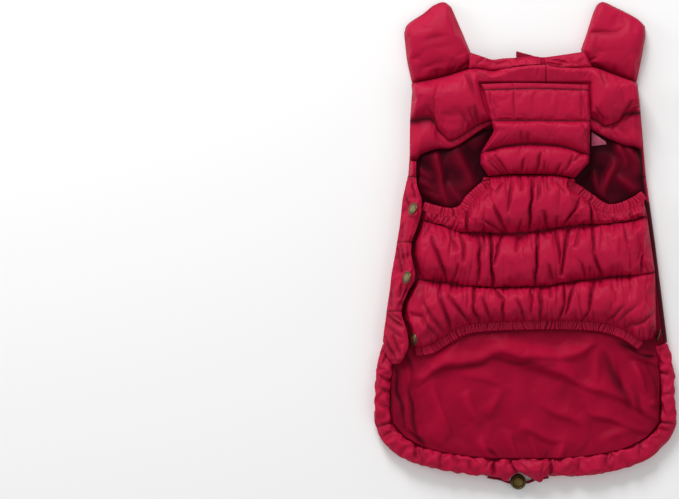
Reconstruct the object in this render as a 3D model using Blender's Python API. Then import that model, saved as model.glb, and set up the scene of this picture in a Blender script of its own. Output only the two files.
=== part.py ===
"""A small dog's puffer jacket, laid flat on its back with the belly side up.

Every piece that would be cut and sewn is its own closed solid. A padded piece is a grid of
rows and columns: its seams are smooth lines through a few points, and the channels between
two seams swell up over a plain inner side. Elastics and the drawcord hem are ruched bands
that follow a line. Tables are in millimetres, X to the right, Y towards the collar, Z up
from the floor; the meshes are in metres.
"""
import bmesh
import bpy
from bisect import bisect_right
from collections import namedtuple
from math import cos, exp, pi, sin, sqrt
from mathutils import Vector

COLLECTION = "dog_puffer_jacket"
CUTTERS = "cutters"

MM = 0.001
GAP = 0.3                 # between pieces that are sewn or lie on each other

# Heights above the floor of the layers, from the back up to the chest flap
BACK_TOP = 11.0           # plain inner side of the padded back
LINING_BASE = BACK_TOP + GAP
LINING_TOP = LINING_BASE + 1.0
BELLY_BASE = LINING_TOP + GAP
FALL_TOP = 6.4            # collar fall, between the floor and the back
NECK_LIFT = 6.8           # the back's underside where it lies on the collar fall
FOLD_TOP = 12.2           # collar fold, under the neck tabs
TAB_BASE = BELLY_BASE
STRAP_CAP = 21.2          # the shoulder straps where the chest flap lies on them
FLAP_BASE = STRAP_CAP + 0.4
EDGE_CAP = 17.8           # the belly's left edge under the side wrap
WRAP_BASE = EDGE_CAP + 0.5

BACK_PUFF = 12.6          # would swell past the floor, so the channels rest flat on it
LINING_INSET = 9.5        # lining to the left edge, clear of the side wrap's foot
LINING_INSET_RIGHT = 3.6  # shell to be seen at the right edge
REAR_INSET = 1.6          # lining to the drawcord hem
UNDERCUT = 2.5            # how far a padded edge rolls in below

# Drawcord hem: a superellipse round the rear
HEM_CENTRE_Y = -150.0
HEM_HALF_WIDTH = 135.7
HEM_DEPTH = 64.0
HEM_POWER = 2.6
HEM_BAND = 18.0
HEM_HEIGHT = 16.0
HEM_START = 10.5          # width where it starts beside the belly
HEM_PULL = 3.8            # drawn in at the cord lock
HEM_CLEAR = 0.6

# Cord and lock
CORD_RADIUS = 1.25
LOCK_X, LOCK_Y = -6.5, -218.2
LOCK_RADIUS = 7.0
LOCK_HEIGHT = 9.0
# Left stretch of the drawcord, out of the hem and into the lock; the right one mirrors it
CORD_ROUTE = ((-34.0, -213.9, 1.9), (-30.0, -214.9, 1.6), (-26.0, -215.4, 1.6),
              (-22.0, -216.2, 1.8), (-18.4, -217.6, 2.5), (-14.5, -218.8, 3.4))

SNAP_RADIUS = 5.6
SNAP_HEIGHT = 1.6
SNAP_4_ROW = 0.04         # how far up the belly's right edge, in channels
SNAP_4_HEADING = -0.28    # it stands on edge and faces out to the right
SNAP_4_CLEAR = 0.9

SLIT_X = -3.2
SLIT_TOP, SLIT_BOTTOM = 117.0, 78.0
SLIT_HALF_WIDTH = 7.6
SLIT_TIP = 2.2            # how far the pointed tip draws back for each mm of inset
BINDING_WALL = 1.6

PATCH_CENTRE = (-84.0, 26.0)
PATCH_SIZE = (38.0, 20.0)
PATCH_THICK = 1.2
PATCH_POCKET = 1.6        # the padding gives way over the patch

Side = namedtuple("Side", "y left right")
SIDES = (                 # the jacket's outline, neck to drawcord hem
    Side(142.0, -103.0, 100.7),
    Side(126.0, -101.3, 102.7),
    Side(110.0, -99.6, 102.9),
    Side(103.5, -103.8, 103.4),
    Side(84.0, -105.4, 104.8),
    Side(57.0, -105.4, 107.9),
    Side(50.0, -108.2, 109.0),
    Side(36.0, -111.3, 111.2),
    Side(0.0, -115.0, 115.8),
    Side(-25.0, -120.5, 119.6),
    Side(-64.0, -124.8, 123.8),
    Side(-80.0, -127.6, 124.8),
    Side(-93.0, -128.6, 127.4),
)

Point = namedtuple("Point", "x y")
NECK_SEAM = tuple(Point(*p) for p in (
    (-102.4, 141.0), (-84.0, 144.3), (-69.5, 148.0), (-55.0, 152.6), (-44.0, 155.6),
    (-14.0, 155.4), (17.0, 155.4), (44.0, 155.8), (60.0, 155.6), (74.0, 151.0),
    (88.0, 145.8), (100.4, 141.5)))

# Centre lines of the elastics
LEFT_ARMHOLE = ((-92.8, 30.4), (-83.7, 27.6), (-72.0, 24.9), (-63.0, 25.0), (-56.3, 28.6),
                (-51.0, 36.5), (-42.0, 45.0), (-35.0, 51.2))
RIGHT_ARMHOLE = ((40.6, 49.6), (46.6, 45.4), (57.2, 37.8), (69.3, 29.6), (76.5, 27.9),
                 (86.4, 29.7), (97.7, 34.7), (106.4, 40.6))
BELLY_HEM = ((-99.5, -100.6), (-84.6, -97.7), (-72.0, -90.0), (-56.7, -81.5), (-36.9, -78.1),
             (1.8, -76.5), (44.1, -76.5), (69.3, -78.8), (87.3, -84.6), (103.5, -95.4))
ARMHOLE_BAND = 8.2
BELLY_BAND = 8.6

Gather = namedtuple("Gather", "count depth phase")
FLAT = Gather(0, 0.0, 0.0)
# A seam's line, its height above the panel's plain side, and its gathers on either side.
# The channel that starts at it swells to puff.
Seam = namedtuple("Seam", "line height puff below above")


def smooth_line(points):
    """A function that gives the point at a fraction of a smooth line's length."""
    knots = [Vector(p) for p in points]
    reach = [0.0]
    for a, b in zip(knots, knots[1:]):
        reach.append(reach[-1] + (b - a).length)
    last = len(knots) - 1

    def slope(i):
        before, after = max(i - 1, 0), min(i + 1, last)
        return (knots[after] - knots[before]) / (reach[after] - reach[before])

    slopes = [slope(i) for i in range(last + 1)]

    def at(fraction):
        distance = min(max(fraction, 0.0), 1.0) * reach[-1]
        i = min(bisect_right(reach, distance) - 1, last - 1)
        span = reach[i + 1] - reach[i]
        f = (distance - reach[i]) / span
        return ((2 * f**3 - 3 * f**2 + 1) * knots[i] + (f**3 - 2 * f**2 + f) * span * slopes[i]
                + (3 * f**2 - 2 * f**3) * knots[i + 1] + (f**3 - f**2) * span * slopes[i + 1])

    at.length = reach[-1]
    return at


def table_value(table, y, column):
    """A column of a table read at y, straight between its rows, which run down in y."""
    for upper, lower in zip(table, table[1:]):
        if y >= lower.y:
            f = (y - lower.y) / (upper.y - lower.y)
            return getattr(lower, column) + f * (getattr(upper, column) - getattr(lower, column))
    return getattr(table[-1], column)


def arc(left, right, rise, points=5):
    """A shallow parabola from left to right, rise high in the middle."""
    fractions = [i / (points - 1) for i in range(points)]
    return [(left[0] + f * (right[0] - left[0]),
             left[1] + f * (right[1] - left[1]) + 4 * rise * f * (1 - f)) for f in fractions]


def columns_for(count, edge=(0.0, 0.012, 0.035, 0.07)):
    """Column places across a panel: even, with closer ones where the edges round off."""
    inner = [edge[-1] + (1 - 2 * edge[-1]) * i / count for i in range(1, count)]
    return list(edge) + inner + [1 - e for e in reversed(edge)]


def rows_for(channels, steps=(0.0, 0.1, 0.3, 0.5, 0.7, 0.9)):
    """Row places along a panel: the same few steps in each channel, and the last seam."""
    return [c + step for c in range(channels) for step in steps] + [float(channels)]


def swell(fraction):
    """How full a channel is between its two seams, 0 at a seam and 1 in the middle."""
    return (1 - abs(2 * fraction - 1) ** 2.5) ** 0.6


def notches(gather, s):
    """Depth of the gathers at s across a seam: uneven V notches."""
    depth = 0.0
    for k in range(gather.count):
        place = (k + 0.5 + 0.28 * sin(2.4 * k + gather.phase)) / gather.count
        strength = 0.62 + 0.38 * sin(1.7 * k + 2 * gather.phase)
        depth = max(depth, strength * (1 - abs(s - place) * gather.count / 0.55))
    return gather.depth * depth


class Panel:
    """A padded panel between seams; s runs across it and t along it, one unit a channel."""

    def __init__(self, seams, base, edge_height, rounding):
        self.seams = seams
        self.lines = [smooth_line(seam.line) for seam in seams]
        self.base = base
        self.edge_height = edge_height
        self.rounding = rounding
        self.channels = len(seams) - 1

    def place(self, s, t):
        i = min(int(t), self.channels - 1)
        return self.lines[i](s).lerp(self.lines[i + 1](s), t - i)

    def span(self, t):
        i = min(int(t), self.channels - 1)
        return self.lines[i].length + (t - i) * (self.lines[i + 1].length - self.lines[i].length)

    def roundness(self, s, t):
        """0 at the left and right edges, 1 where the padding is at its full height."""
        from_edge = min(s, 1 - s) * self.span(t) / self.rounding
        return sqrt(1 - (1 - min(from_edge, 1.0)) ** 2)

    def height(self, s, t):
        i = min(int(t), self.channels - 1)
        f = t - i
        lower, upper = self.seams[i], self.seams[i + 1]
        full = lower.height + f * (upper.height - lower.height)
        full += (lower.puff - full) * swell(f)
        full -= notches(lower.above, s) * exp(-(f / 0.27) ** 2)
        full -= notches(upper.below, s) * exp(-((1 - f) / 0.27) ** 2)
        rounded = self.edge_height + (full - self.edge_height) * self.roundness(s, t)
        return self.base + rounded


def new_object(name, bm, material):
    """Finish a mesh in metres, facing out, and put it in the jacket's collection."""
    bmesh.ops.scale(bm, vec=(MM, MM, MM), verts=bm.verts)
    bmesh.ops.recalc_face_normals(bm, faces=bm.faces)
    mesh = bpy.data.meshes.new(name)
    bm.to_mesh(mesh)
    bm.free()
    mesh.shade_smooth()
    mesh.set_sharp_from_angle(angle=0.7)
    mesh.materials.append(material)
    obj = bpy.data.objects.new(name, mesh)
    bpy.data.collections[COLLECTION].objects.link(obj)
    return obj


def padded(name, panel, columns, rows, material, plain=None, shaped=None):
    """A panel as a closed solid: a shaped skin over a plain side.

    shaped gives the skin's height, plain the other side's. A plain side that is level is
    one face; one that steps or slopes, given as a function, keeps the grid.
    """
    shaped = shaped or panel.height
    level = panel.base if plain is None else plain
    across, along = len(columns) - 1, len(rows) - 1
    bm = bmesh.new()
    s_of = bm.verts.layers.float.new("s")
    t_of = bm.verts.layers.float.new("t")
    bmesh.ops.create_grid(bm, x_segments=across, y_segments=along, size=0.5)
    for v in bm.verts:
        v[s_of] = columns[round((v.co.x + 0.5) * across)]
        v[t_of] = rows[round((v.co.y + 0.5) * along)]
        x, y = panel.place(v[s_of], v[t_of])
        v.co = (x, y, shaped(v[s_of], v[t_of]))

    def tuck(v):
        """A point of the plain side: below its own, rolled in at the edges."""
        s_in = min(UNDERCUT / panel.span(v[t_of]), 0.2)
        middle = panel.place(0.5, 0.0) - panel.place(0.5, panel.channels)
        t_in = min(UNDERCUT * panel.channels / middle.length, 0.3)
        s = min(max(v[s_of], s_in), 1 - s_in)
        t = min(max(v[t_of], t_in), panel.channels - t_in)
        x, y = panel.place(s, t)
        return x, y, level(x, y) if callable(level) else level

    if callable(level):
        made = bmesh.ops.extrude_face_region(bm, geom=bm.faces[:], use_keep_orig=True)
        for v in [g for g in made["geom"] if isinstance(g, bmesh.types.BMVert)]:
            v.co = tuck(v)
    else:
        rim = [e for e in bm.edges if e.is_boundary]
        made = bmesh.ops.extrude_edge_only(bm, edges=rim)
        for v in [g for g in made["geom"] if isinstance(g, bmesh.types.BMVert)]:
            v.co = tuck(v)
        low_rim = [e for e in bm.edges if e.is_boundary]
        bmesh.ops.holes_fill(bm, edges=low_rim, sides=0)
    return new_object(name, bm, material)


# Section of a ruched band: across as a share of its width, up as a share of its height
BAND_SECTION = ((-0.36, 0.0), (0.36, 0.0), (0.5, 0.3), (0.48, 0.66), (0.3, 0.93),
                (0.0, 1.0), (-0.3, 0.93), (-0.48, 0.66), (-0.5, 0.3))


def band(name, line, base, width, height, ribs, material, waist=None, pinch=0.16):
    """A ruched band along a line: its section swells at each rib and draws in between."""
    at = smooth_line(line)
    stations = 2 * ribs
    ring = len(BAND_SECTION)
    bm = bmesh.new()
    bmesh.ops.create_grid(bm, x_segments=ring, y_segments=stations, size=0.5)
    for v in bm.verts:
        corner = BAND_SECTION[round((v.co.x + 0.5) * ring) % ring]
        station = round((v.co.y + 0.5) * stations)
        f = station / stations
        point = at(f)
        ahead = (at(min(f + 0.004, 1.0)) - at(max(f - 0.004, 0.0))).normalized()
        side = Vector((ahead.y, -ahead.x))
        rib = 1 - pinch * (1 - station % 2) * (0.75 + 0.25 * sin(1.9 * station))
        end = 0.72 if station in (0, stations) else 1.0
        wide = (width(point) if callable(width) else width) * (0.5 + 0.5 * rib)
        shift = waist(point) if waist else 0.0
        place = point + side * (corner[0] * wide - shift)
        v.co = (place.x, place.y, base + corner[1] * height * rib * end)
    bmesh.ops.remove_doubles(bm, verts=bm.verts, dist=1e-4)
    bmesh.ops.holes_fill(bm, edges=[e for e in bm.edges if e.is_boundary], sides=0)
    return new_object(name, bm, material)


def hem_point(angle, inset):
    """A point of the rear hem's superellipse, drawn in by inset."""
    x = (HEM_HALF_WIDTH - inset) * abs(cos(angle)) ** (2 / HEM_POWER)
    y = (HEM_DEPTH - inset) * abs(sin(angle)) ** (2 / HEM_POWER)
    return (x if cos(angle) > 0 else -x, HEM_CENTRE_Y - y)


def hem_band_width(point):
    """The drawcord hem is narrow where it starts beside the belly."""
    start = min(max((-94.0 - point.y) / 24.0, 0.0), 1.0)
    return HEM_START + (HEM_BAND - HEM_START) * start - 2 * hem_waist(point)


def hem_waist(point):
    """The hem's outer face draws in where the cord lock pulls it."""
    pull = exp(-((point.x - LOCK_X) / 11.0) ** 2)
    return HEM_PULL / 2 * pull if point.y < HEM_CENTRE_Y else 0.0


def hem_line():
    """Centre line of the drawcord hem, from the left side round the rear to the right."""
    middle = HEM_BAND / 2
    round_part = [hem_point(pi + pi * i / 24, middle) for i in range(1, 24)]
    left = [(-123.4, -94.4), (-125.0, -118.0), (-126.6, -140.0)]
    right = [(126.4, -140.0), (124.8, -118.0), (122.2, -94.4)]
    return left + round_part + right


def back_seams():
    """The back: seams across it from the rear up to the neck."""
    inner = HEM_BAND + HEM_CLEAR
    rear = [hem_point(pi + pi * i / 12, inner) for i in range(2, 11)]
    low = [(-114.2, -164.0), (-60.0, -171.5), (0.0, -173.0), (60.0, -171.5), (114.2, -164.0)]

    def level(y, left=None, right=None):
        left = table_value(SIDES, y, "left") if left is None else left
        right = table_value(SIDES, y, "right") if right is None else right
        return arc((left, y), (right, y), 0.0)

    return (
        Seam(rear, 5.0, BACK_PUFF, FLAT, FLAT),
        Seam(low, 7.5, BACK_PUFF, FLAT, FLAT),
        Seam(level(-122.4, -115.0, 115.0), 7.5, BACK_PUFF, FLAT, FLAT),
        Seam(level(-94.6, -117.0, 116.0), BACK_TOP, BACK_TOP, FLAT, FLAT),
        Seam(level(-93.4), BACK_TOP, BACK_PUFF, FLAT, FLAT),
        Seam(level(-63.9), 7.5, BACK_PUFF, FLAT, FLAT),
        Seam(level(-1.8), 7.5, BACK_PUFF, FLAT, FLAT),
        Seam(level(57.0), 7.5, BACK_PUFF, FLAT, FLAT),
        Seam(level(120.4), 7.5, BACK_PUFF, FLAT, FLAT),
        Seam(NECK_SEAM, 4.2, 4.2, FLAT, FLAT),
    )


def make_back(shell):
    """The padded back, quilted on its underside, plain inside."""
    panel = Panel(back_seams(), 0.0, 6.0, 10.0)
    usual = (0.0, 0.12, 0.3, 0.7, 0.88)
    steps = {0: (0.0, 0.3, 0.7), 2: (0.0, 0.2, 0.6), 3: (0.0,), 4: (0.0, 0.3, 0.7)}
    rows = [c + f for c in range(panel.channels) for f in steps.get(c, usual)]
    rows.append(float(panel.channels))

    def underside(s, t):
        thick = panel.height(s, t)
        x, y = panel.place(s, t)
        low = BACK_TOP - thick
        if y > 118.5:
            low = max(low, NECK_LIFT)
        near_patch = abs(x - PATCH_CENTRE[0]) < 30 and abs(y - PATCH_CENTRE[1]) < 20
        return max(low, PATCH_POCKET) if near_patch else max(low, 0.0)

    columns = columns_for(14, (0.0, 0.015, 0.05))
    return padded("back_panel", panel, columns, rows, shell, plain=BACK_TOP, shaped=underside)


def make_lining(satin):
    """The lining over the back's inner side, in from the edge all round."""
    seams = back_seams()
    lines = []
    for seam in seams:
        at = smooth_line(seam.line)
        y = at(0.0).y
        left = LINING_INSET if y > -94 else REAR_INSET
        right = LINING_INSET_RIGHT if y > -70 else left
        width = at.length
        lines.append([tuple(at((left + (width - left - right) * i / 8) / width))
                      for i in range(9)])
    lines[0] = [(x * 0.985, y + REAR_INSET) for x, y in lines[0]]
    lines[-1] = [(x, y - REAR_INSET) for x, y in lines[-1]]
    kept = [Seam(line, 1.0, 1.0, FLAT, FLAT) for line in lines]
    panel = Panel(kept, LINING_BASE, 1.0, 1.0)
    rows = [c + f for c in range(panel.channels) for f in (0.0, 0.5)] + [float(panel.channels)]
    columns = [i / 12 for i in range(13)]
    return padded("back_lining", panel, columns, rows, satin)


def make_belly(shell):
    """The belly panel: a chest dome between the armholes and three gathered channels."""
    half = ARMHOLE_BAND / 2 + 0.7
    left, right = smooth_line(LEFT_ARMHOLE), smooth_line(RIGHT_ARMHOLE)
    hem = smooth_line(BELLY_HEM)

    def beside(at, f, distance):
        ahead = (at(min(f + 0.02, 1.0)) - at(max(f - 0.02, 0.0))).normalized()
        return tuple(at(f) + Vector((ahead.y, -ahead.x)) * distance)

    top = ([(-102.2, 26.0)] + [beside(left, f, half) for f in (0.04, 0.2, 0.4, 0.55, 0.7, 0.9)]
           + [(-30.6, 48.4), (-27.6, 55.6), (3.0, 56.6), (34.0, 54.6), (36.4, 46.2)]
           + [beside(right, f, half) for f in (0.1, 0.3, 0.45, 0.6, 0.8, 0.96)])
    low = [beside(hem, f, -(BELLY_BAND / 2 + 0.9))
           for f in (0.02, 0.12, 0.22, 0.35, 0.5, 0.65, 0.76, 0.84, 0.91, 0.98)]
    low = [(-113.4, -92.0)] + low + [(117.5, -88.0)]
    upper_seam = ((-102.4, 20.0), (-78.0, 14.0), (-58.5, 8.6), (-23.4, 5.6), (3.6, 7.2),
                  (27.0, 10.4), (56.3, 14.4), (85.5, 16.3), (109.0, 21.0))
    lower_seam = ((-110.6, -34.0), (-80.0, -37.3), (-50.7, -41.1), (-15.7, -42.1),
                  (17.5, -41.1), (46.6, -37.3), (75.9, -33.3), (105.0, -30.4), (116.0, -28.6))
    seams = (
        Seam(low, 6.4, 15.5, FLAT, Gather(22, 3.6, 0.4)),
        Seam(lower_seam, 6.6, 17.0, Gather(16, 3.8, 1.1), Gather(15, 3.8, 2.0)),
        Seam(upper_seam, 6.6, 18.5, Gather(14, 3.8, 2.9), Gather(12, 3.6, 0.2)),
        Seam(top, 6.4, 6.4, Gather(16, 3.2, 1.6), FLAT),
    )
    panel = Panel(seams, BELLY_BASE, 4.0, 20.0)

    def under_the_wrap(s, t):
        x, y = panel.place(s, t)
        lip = table_value(WRAP, y, "inner") + WRAP_MARGIN
        free = min(max((x - lip) / 9.0, 0.0), 1.0)
        height = panel.height(s, t)
        return min(height, EDGE_CAP) * (1 - free) + height * free

    columns = columns_for(48, (0.0, 0.015, 0.05))
    padded("belly_panel", panel, columns, rows_for(3), shell, shaped=under_the_wrap)
    return panel, under_the_wrap


Wrap = namedtuple("Wrap", "y inner")
WRAP = (                  # inner edge of the side wrap, which widens round each snap
    Wrap(72.0, -100.2),
    Wrap(61.0, -101.0),
    Wrap(50.0, -99.0),
    Wrap(36.0, -94.0),
    Wrap(25.0, -94.2),
    Wrap(12.0, -98.0),
    Wrap(-2.0, -103.2),
    Wrap(-14.0, -103.6),
    Wrap(-30.0, -99.6),
    Wrap(-37.0, -100.4),
    Wrap(-46.0, -106.5),
    Wrap(-58.0, -111.5),
    Wrap(-68.0, -112.0),
    Wrap(-80.0, -107.5),
    Wrap(-93.0, -105.5),
)
WRAP_WALL = 8.0           # the wrap stands on the back this far in, then lies on the belly
WRAP_FOOT = 0.4           # share of its columns that the standing part takes
WRAP_MARGIN = 3.5         # the belly stays low under the wrap and this far past it
WRAP_LIP = 4.0            # from the wrap's crest to its inner edge


def make_side_wrap(shell):
    """The left edge of the back, folded over the belly's edge, quilted as the back is."""
    cuts = (-93.0, -63.9, -1.8, 57.0, 71.0)

    def across(y):
        return [(table_value(SIDES, y, "left"), y), (table_value(WRAP, y, "inner"), y)]

    def wall(y):
        (left, _), (right, _) = across(y)
        return min(WRAP_WALL, 0.55 * (right - left))

    def place(s, t):
        i = min(int(t), len(cuts) - 2)
        y = cuts[i] + (t - i) * (cuts[i + 1] - cuts[i])
        (left, _), (right, _) = across(y)
        thick = wall(y)
        lip = max(s - WRAP_FOOT, 0.0) / (1 - WRAP_FOOT) * (right - left - thick)
        return Vector((left + min(s / WRAP_FOOT, 1.0) * thick + lip, y))

    panel = Panel([Seam(across(y), 8.0, 12.0, FLAT, FLAT) for y in cuts], BACK_TOP, 4.0, 9.0)
    panel.place = place

    def top(s, t):
        x, y = place(s, t)
        (left, _), (inner, _) = across(y)
        full = min((inner - left) / 14.0, 1.0)
        climb = min((x - left) / max(inner - left - WRAP_LIP, 1.0), 1.0)
        fall = max(x - (inner - WRAP_LIP), 0.0) / WRAP_LIP
        roll = 0.25 * sin(pi / 2 * climb) + 0.75 * climb - 0.2 * fall ** 2
        seam_dip = 3.2 * (1 - swell(t - min(int(t), panel.channels - 1)))
        return BACK_TOP + 4.5 + (13.0 * (0.45 + 0.55 * full) - seam_dip) * roll

    def plain(x, y):
        over_belly = x > table_value(SIDES, y, "left") + wall(y) + 0.05
        return WRAP_BASE if over_belly else BACK_TOP + GAP

    rows = rows_for(panel.channels - 1) + [panel.channels - 0.5, float(panel.channels)]
    columns = [0.0, 0.06, 0.2, WRAP_FOOT, WRAP_FOOT + 0.04, 0.6, 0.78, 0.92, 1.0]
    padded("back_side_wrap", panel, columns, rows, shell, plain=plain, shaped=top)
    return panel, top


def make_flap(shell):
    """The chest flap: a stitched tab at the top and two puffs, over the straps."""
    seams = (
        Seam(arc((-33.6, 57.2), (42.0, 56.0), 2.2), 4.5, 17.0, FLAT, Gather(10, 2.4, 0.7)),
        Seam(((-40.6, 72.0), (3.0, 75.5), (57.0, 72.5)), 17.0, 17.0, FLAT, FLAT),
        Seam(((-41.2, 79.2), (-17.0, 85.0), (4.0, 86.4), (26.0, 84.6), (57.6, 78.3)),
             13.0, 22.0, Gather(9, 2.2, 1.9), Gather(8, 2.2, 2.6)),
        Seam(((-34.0, 96.5), (10.0, 97.0), (56.8, 96.5)), 22.0, 22.0, FLAT, FLAT),
        Seam(((-31.8, 107.2), (10.0, 107.0), (56.2, 106.6)), 15.2, 16.5, FLAT, FLAT),
        Seam(((-41.0, 140.0), (10.0, 140.8), (55.6, 140.8)), 13.6, 13.6, FLAT, FLAT),
    )
    panel = Panel(seams, BELLY_BASE, 6.0, 13.0)

    def slope(x, y):
        f = min(max((y - 84.0) / 15.0, 0.0), 1.0)
        return BELLY_BASE + f * (FLAP_BASE - BELLY_BASE)

    def top(s, t):
        x, y = panel.place(s, t)
        low = slope(x, y) + 3.0
        return max(panel.height(s, t), low)

    steps = {0: (0.0, 0.15, 0.45, 0.75), 1: (0.0, 0.5, 0.82), 2: (0.0, 0.14, 0.45, 0.75),
             3: (0.0, 0.35, 0.8), 4: (0.0, 0.1, 0.5, 0.9)}
    rows = [c + f for c in range(panel.channels) for f in steps[c]] + [float(panel.channels)]
    columns = columns_for(18, (0.0, 0.03, 0.09))
    padded("chest_flap", panel, columns, rows, shell, plain=slope, shaped=top)


def make_shoulder(name, armhole, silhouette, neck, under_flap, shell):
    """A shoulder strap from the armhole's edge up to the neck seam, flat under the flap."""
    seams = (
        Seam(armhole, 5.0, 12.0, FLAT, FLAT),
        Seam(silhouette, 8.5, 13.0, Gather(4, 1.6, 0.5), Gather(5, 1.6, 1.4)),
        Seam(neck, 6.0, 6.0, Gather(12, 2.4, 2.2), FLAT),
    )
    panel = Panel(seams, BELLY_BASE, 4.5, 14.0)

    def top(s, t):
        x, y = panel.place(s, t)
        covered = min(max(under_flap(x, y), 0.0), 1.0)
        height = panel.height(s, t)
        return min(height, STRAP_CAP) * covered + height * (1 - covered)

    rows = rows_for(panel.channels, (0.0, 0.1, 0.35, 0.65, 0.9))
    padded(name, panel, columns_for(18, (0.0, 0.03, 0.09)), rows, shell, shaped=top)


def make_shoulders(shell):
    """Left and right straps; their ends meet under the chest flap."""
    make_shoulder(
        "shoulder_left",
        ((-104.6, 72.6), (-98.0, 73.6), (-86.4, 80.3), (-64.8, 82.8), (-37.4, 101.2),
         (-10.0, 112.0), (17.0, 119.0)),
        ((-99.8, 110.2), (-87.5, 110.2), (-79.5, 99.5), (-70.5, 90.5), (-61.0, 89.5),
         (-38.0, 105.6), (-10.0, 116.0), (17.0, 123.0)),
        ((-102.0, 140.2), (-84.0, 143.4), (-69.5, 147.1), (-55.0, 151.7), (-44.0, 154.4),
         (-14.0, 153.9), (17.0, 153.9)),
        lambda x, y: (x + 54.0) / 8.0 if y < 146.0 else 0.0, shell)
    make_shoulder(
        "shoulder_right",
        ((17.6, 119.0), (39.6, 111.2), (58.1, 101.2), (71.7, 92.2), (87.8, 85.7), (99.0, 83.3),
         (104.6, 80.4)),
        ((17.6, 123.0), (40.0, 115.6), (57.0, 108.6), (66.2, 106.0), (74.2, 103.4),
         (87.8, 110.6), (102.6, 114.4)),
        ((17.6, 153.9), (44.0, 154.3), (60.0, 154.2), (74.0, 149.8), (88.0, 144.8),
         (100.0, 140.6)),
        lambda x, y: (70.0 - x) / 8.0 if y < 146.0 else 0.0, shell)


def make_neck_tabs(shell):
    """The two neck tabs, the left one over the right one's thin end."""
    left = (Seam(((-47.0, 155.8), (-30.0, 155.4), (-5.0, 155.4), (14.0, 155.4)), 6.0, 11.0,
                 FLAT, Gather(6, 1.5, 0.9)),
            Seam(((-44.0, 166.8), (-36.0, 164.0), (-24.0, 162.6), (-5.0, 163.6),
                  (12.2, 164.2)), 5.5, 5.5, FLAT, FLAT))
    panel = Panel(left, TAB_BASE, 4.0, 8.0)

    def over_the_right_tab(x, y):
        return TAB_BASE + (5.4 if x > -11.5 else 0.0)

    def left_top(s, t):
        x, y = panel.place(s, t)
        return max(panel.height(s, t), over_the_right_tab(x - 1.0, y) + 3.4)

    columns = columns_for(14)
    rows = [0.0, 0.15, 0.5, 0.85, 1.0]
    padded("neck_tab_left", panel, columns, rows, shell, plain=over_the_right_tab,
           shaped=left_top)

    right = (Seam(((-9.0, 157.0), (12.5, 156.4), (30.0, 156.0), (55.0, 158.6)), 4.5, 9.5,
                  FLAT, FLAT),
             Seam(((-9.0, 170.0), (2.0, 167.0), (13.0, 164.8), (30.0, 166.2), (47.0, 168.8)),
                  4.5, 4.5, FLAT, FLAT))
    other = Panel(right, TAB_BASE, 3.6, 8.0)

    def right_top(s, t):
        x, y = other.place(s, t)
        free = min(max((x - 16.0) / 6.0, 0.0), 1.0)
        height = other.height(s, t)
        return min(height, TAB_BASE + 4.6) * (1 - free) + height * free

    padded("neck_tab_right", other, columns, rows, shell, plain=lambda x, y: TAB_BASE,
           shaped=right_top)


def make_collar(shell):
    """The wings that stand out at the neck, the fold between them and the fall below."""
    wings = {
        "collar_left": (
            ((-101.9, 141.8), (-84.0, 145.0), (-69.5, 148.7), (-55.0, 153.3), (-48.6, 156.0)),
            ((-106.4, 162.0), (-78.0, 166.5), (-49.5, 168.0)),
            ((-108.6, 181.6), (-84.0, 188.5), (-57.0, 186.0)),
            ((-109.0, 186.4), (-106.4, 194.0), (-91.0, 204.6), (-83.4, 211.0),
             (-73.7, 214.4), (-67.4, 210.2))),
        "collar_right": (
            ((59.0, 156.9), (74.0, 151.7), (88.0, 146.5), (100.0, 142.3)),
            ((50.4, 171.0), (78.0, 168.5), (105.0, 167.2)),
            ((56.0, 187.0), (84.0, 186.5), (108.0, 184.0)),
            ((61.7, 205.2), (65.6, 212.6), (70.2, 214.6), (79.2, 210.6), (92.7, 204.0),
             (102.3, 198.2), (107.6, 192.6))),
    }
    for name, lines in wings.items():
        heights = (9.0, 15.0, 16.5, 6.5)
        seams = [Seam(line, height, height, FLAT, FLAT) for line, height in zip(lines, heights)]
        panel = Panel(seams, 0.0, 6.0, 14.0)
        rows = [0.0, 0.1, 0.35, 0.65, 1.0, 1.5, 2.0, 2.5, 2.8, 3.0]
        padded(name, panel, columns_for(10), rows, shell)

    fold = ((-42.5, 160.2), (-20.0, 159.8), (5.0, 160.2), (30.0, 161.0), (47.0, 163.0))
    band("collar_fold", fold, 0.0, 6.0, FOLD_TOP, 9, shell, pinch=0.05)

    free_edge = ((-100.0, 136.0), (-84.0, 132.6), (-62.0, 127.4), (-38.0, 124.6), (4.0, 123.0),
                 (42.0, 123.4), (62.0, 127.0), (84.0, 132.4), (99.0, 136.6))
    neck_edge = tuple((p.x * 0.985, p.y - 0.2) for p in NECK_SEAM)
    seams = (Seam(free_edge, 4.6, FALL_TOP, FLAT, FLAT),
             Seam(neck_edge, 4.6, 4.6, FLAT, FLAT))
    panel = Panel(seams, 0.0, 3.4, 8.0)
    padded("collar_fall", panel, columns_for(14), [0.0, 0.12, 0.35, 0.65, 0.88, 1.0], shell)


def make_elastics(shell):
    """The ruched elastics of the armholes and the belly hem, and the drawcord hem."""
    band("armhole_elastic_left", LEFT_ARMHOLE, BELLY_BASE, ARMHOLE_BAND, 9.0, 14, shell)
    band("armhole_elastic_right", RIGHT_ARMHOLE, BELLY_BASE, ARMHOLE_BAND, 9.0, 14, shell)
    band("belly_elastic", BELLY_HEM, BELLY_BASE, BELLY_BAND, 9.0, 34, shell)
    band("hem_casing", hem_line(), 0.0, hem_band_width, HEM_HEIGHT, 30, shell,
         waist=hem_waist, pinch=0.17)


def slit_outline(inset):
    """The leash slit: a drop, pointed towards the collar and round at its lower end."""
    points = []
    half = SLIT_HALF_WIDTH - inset
    top = SLIT_TOP - SLIT_TIP * inset
    length = top - SLIT_BOTTOM - inset
    for i in range(20):
        angle = 2 * pi * i / 20
        along = 0.5 - 0.5 * cos(angle)
        wide = 2.6 * half * along * sqrt(max(1 - along, 0.0))
        points.append((SLIT_X + (wide if angle < pi else -wide), top - length * along))
    return points


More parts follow.
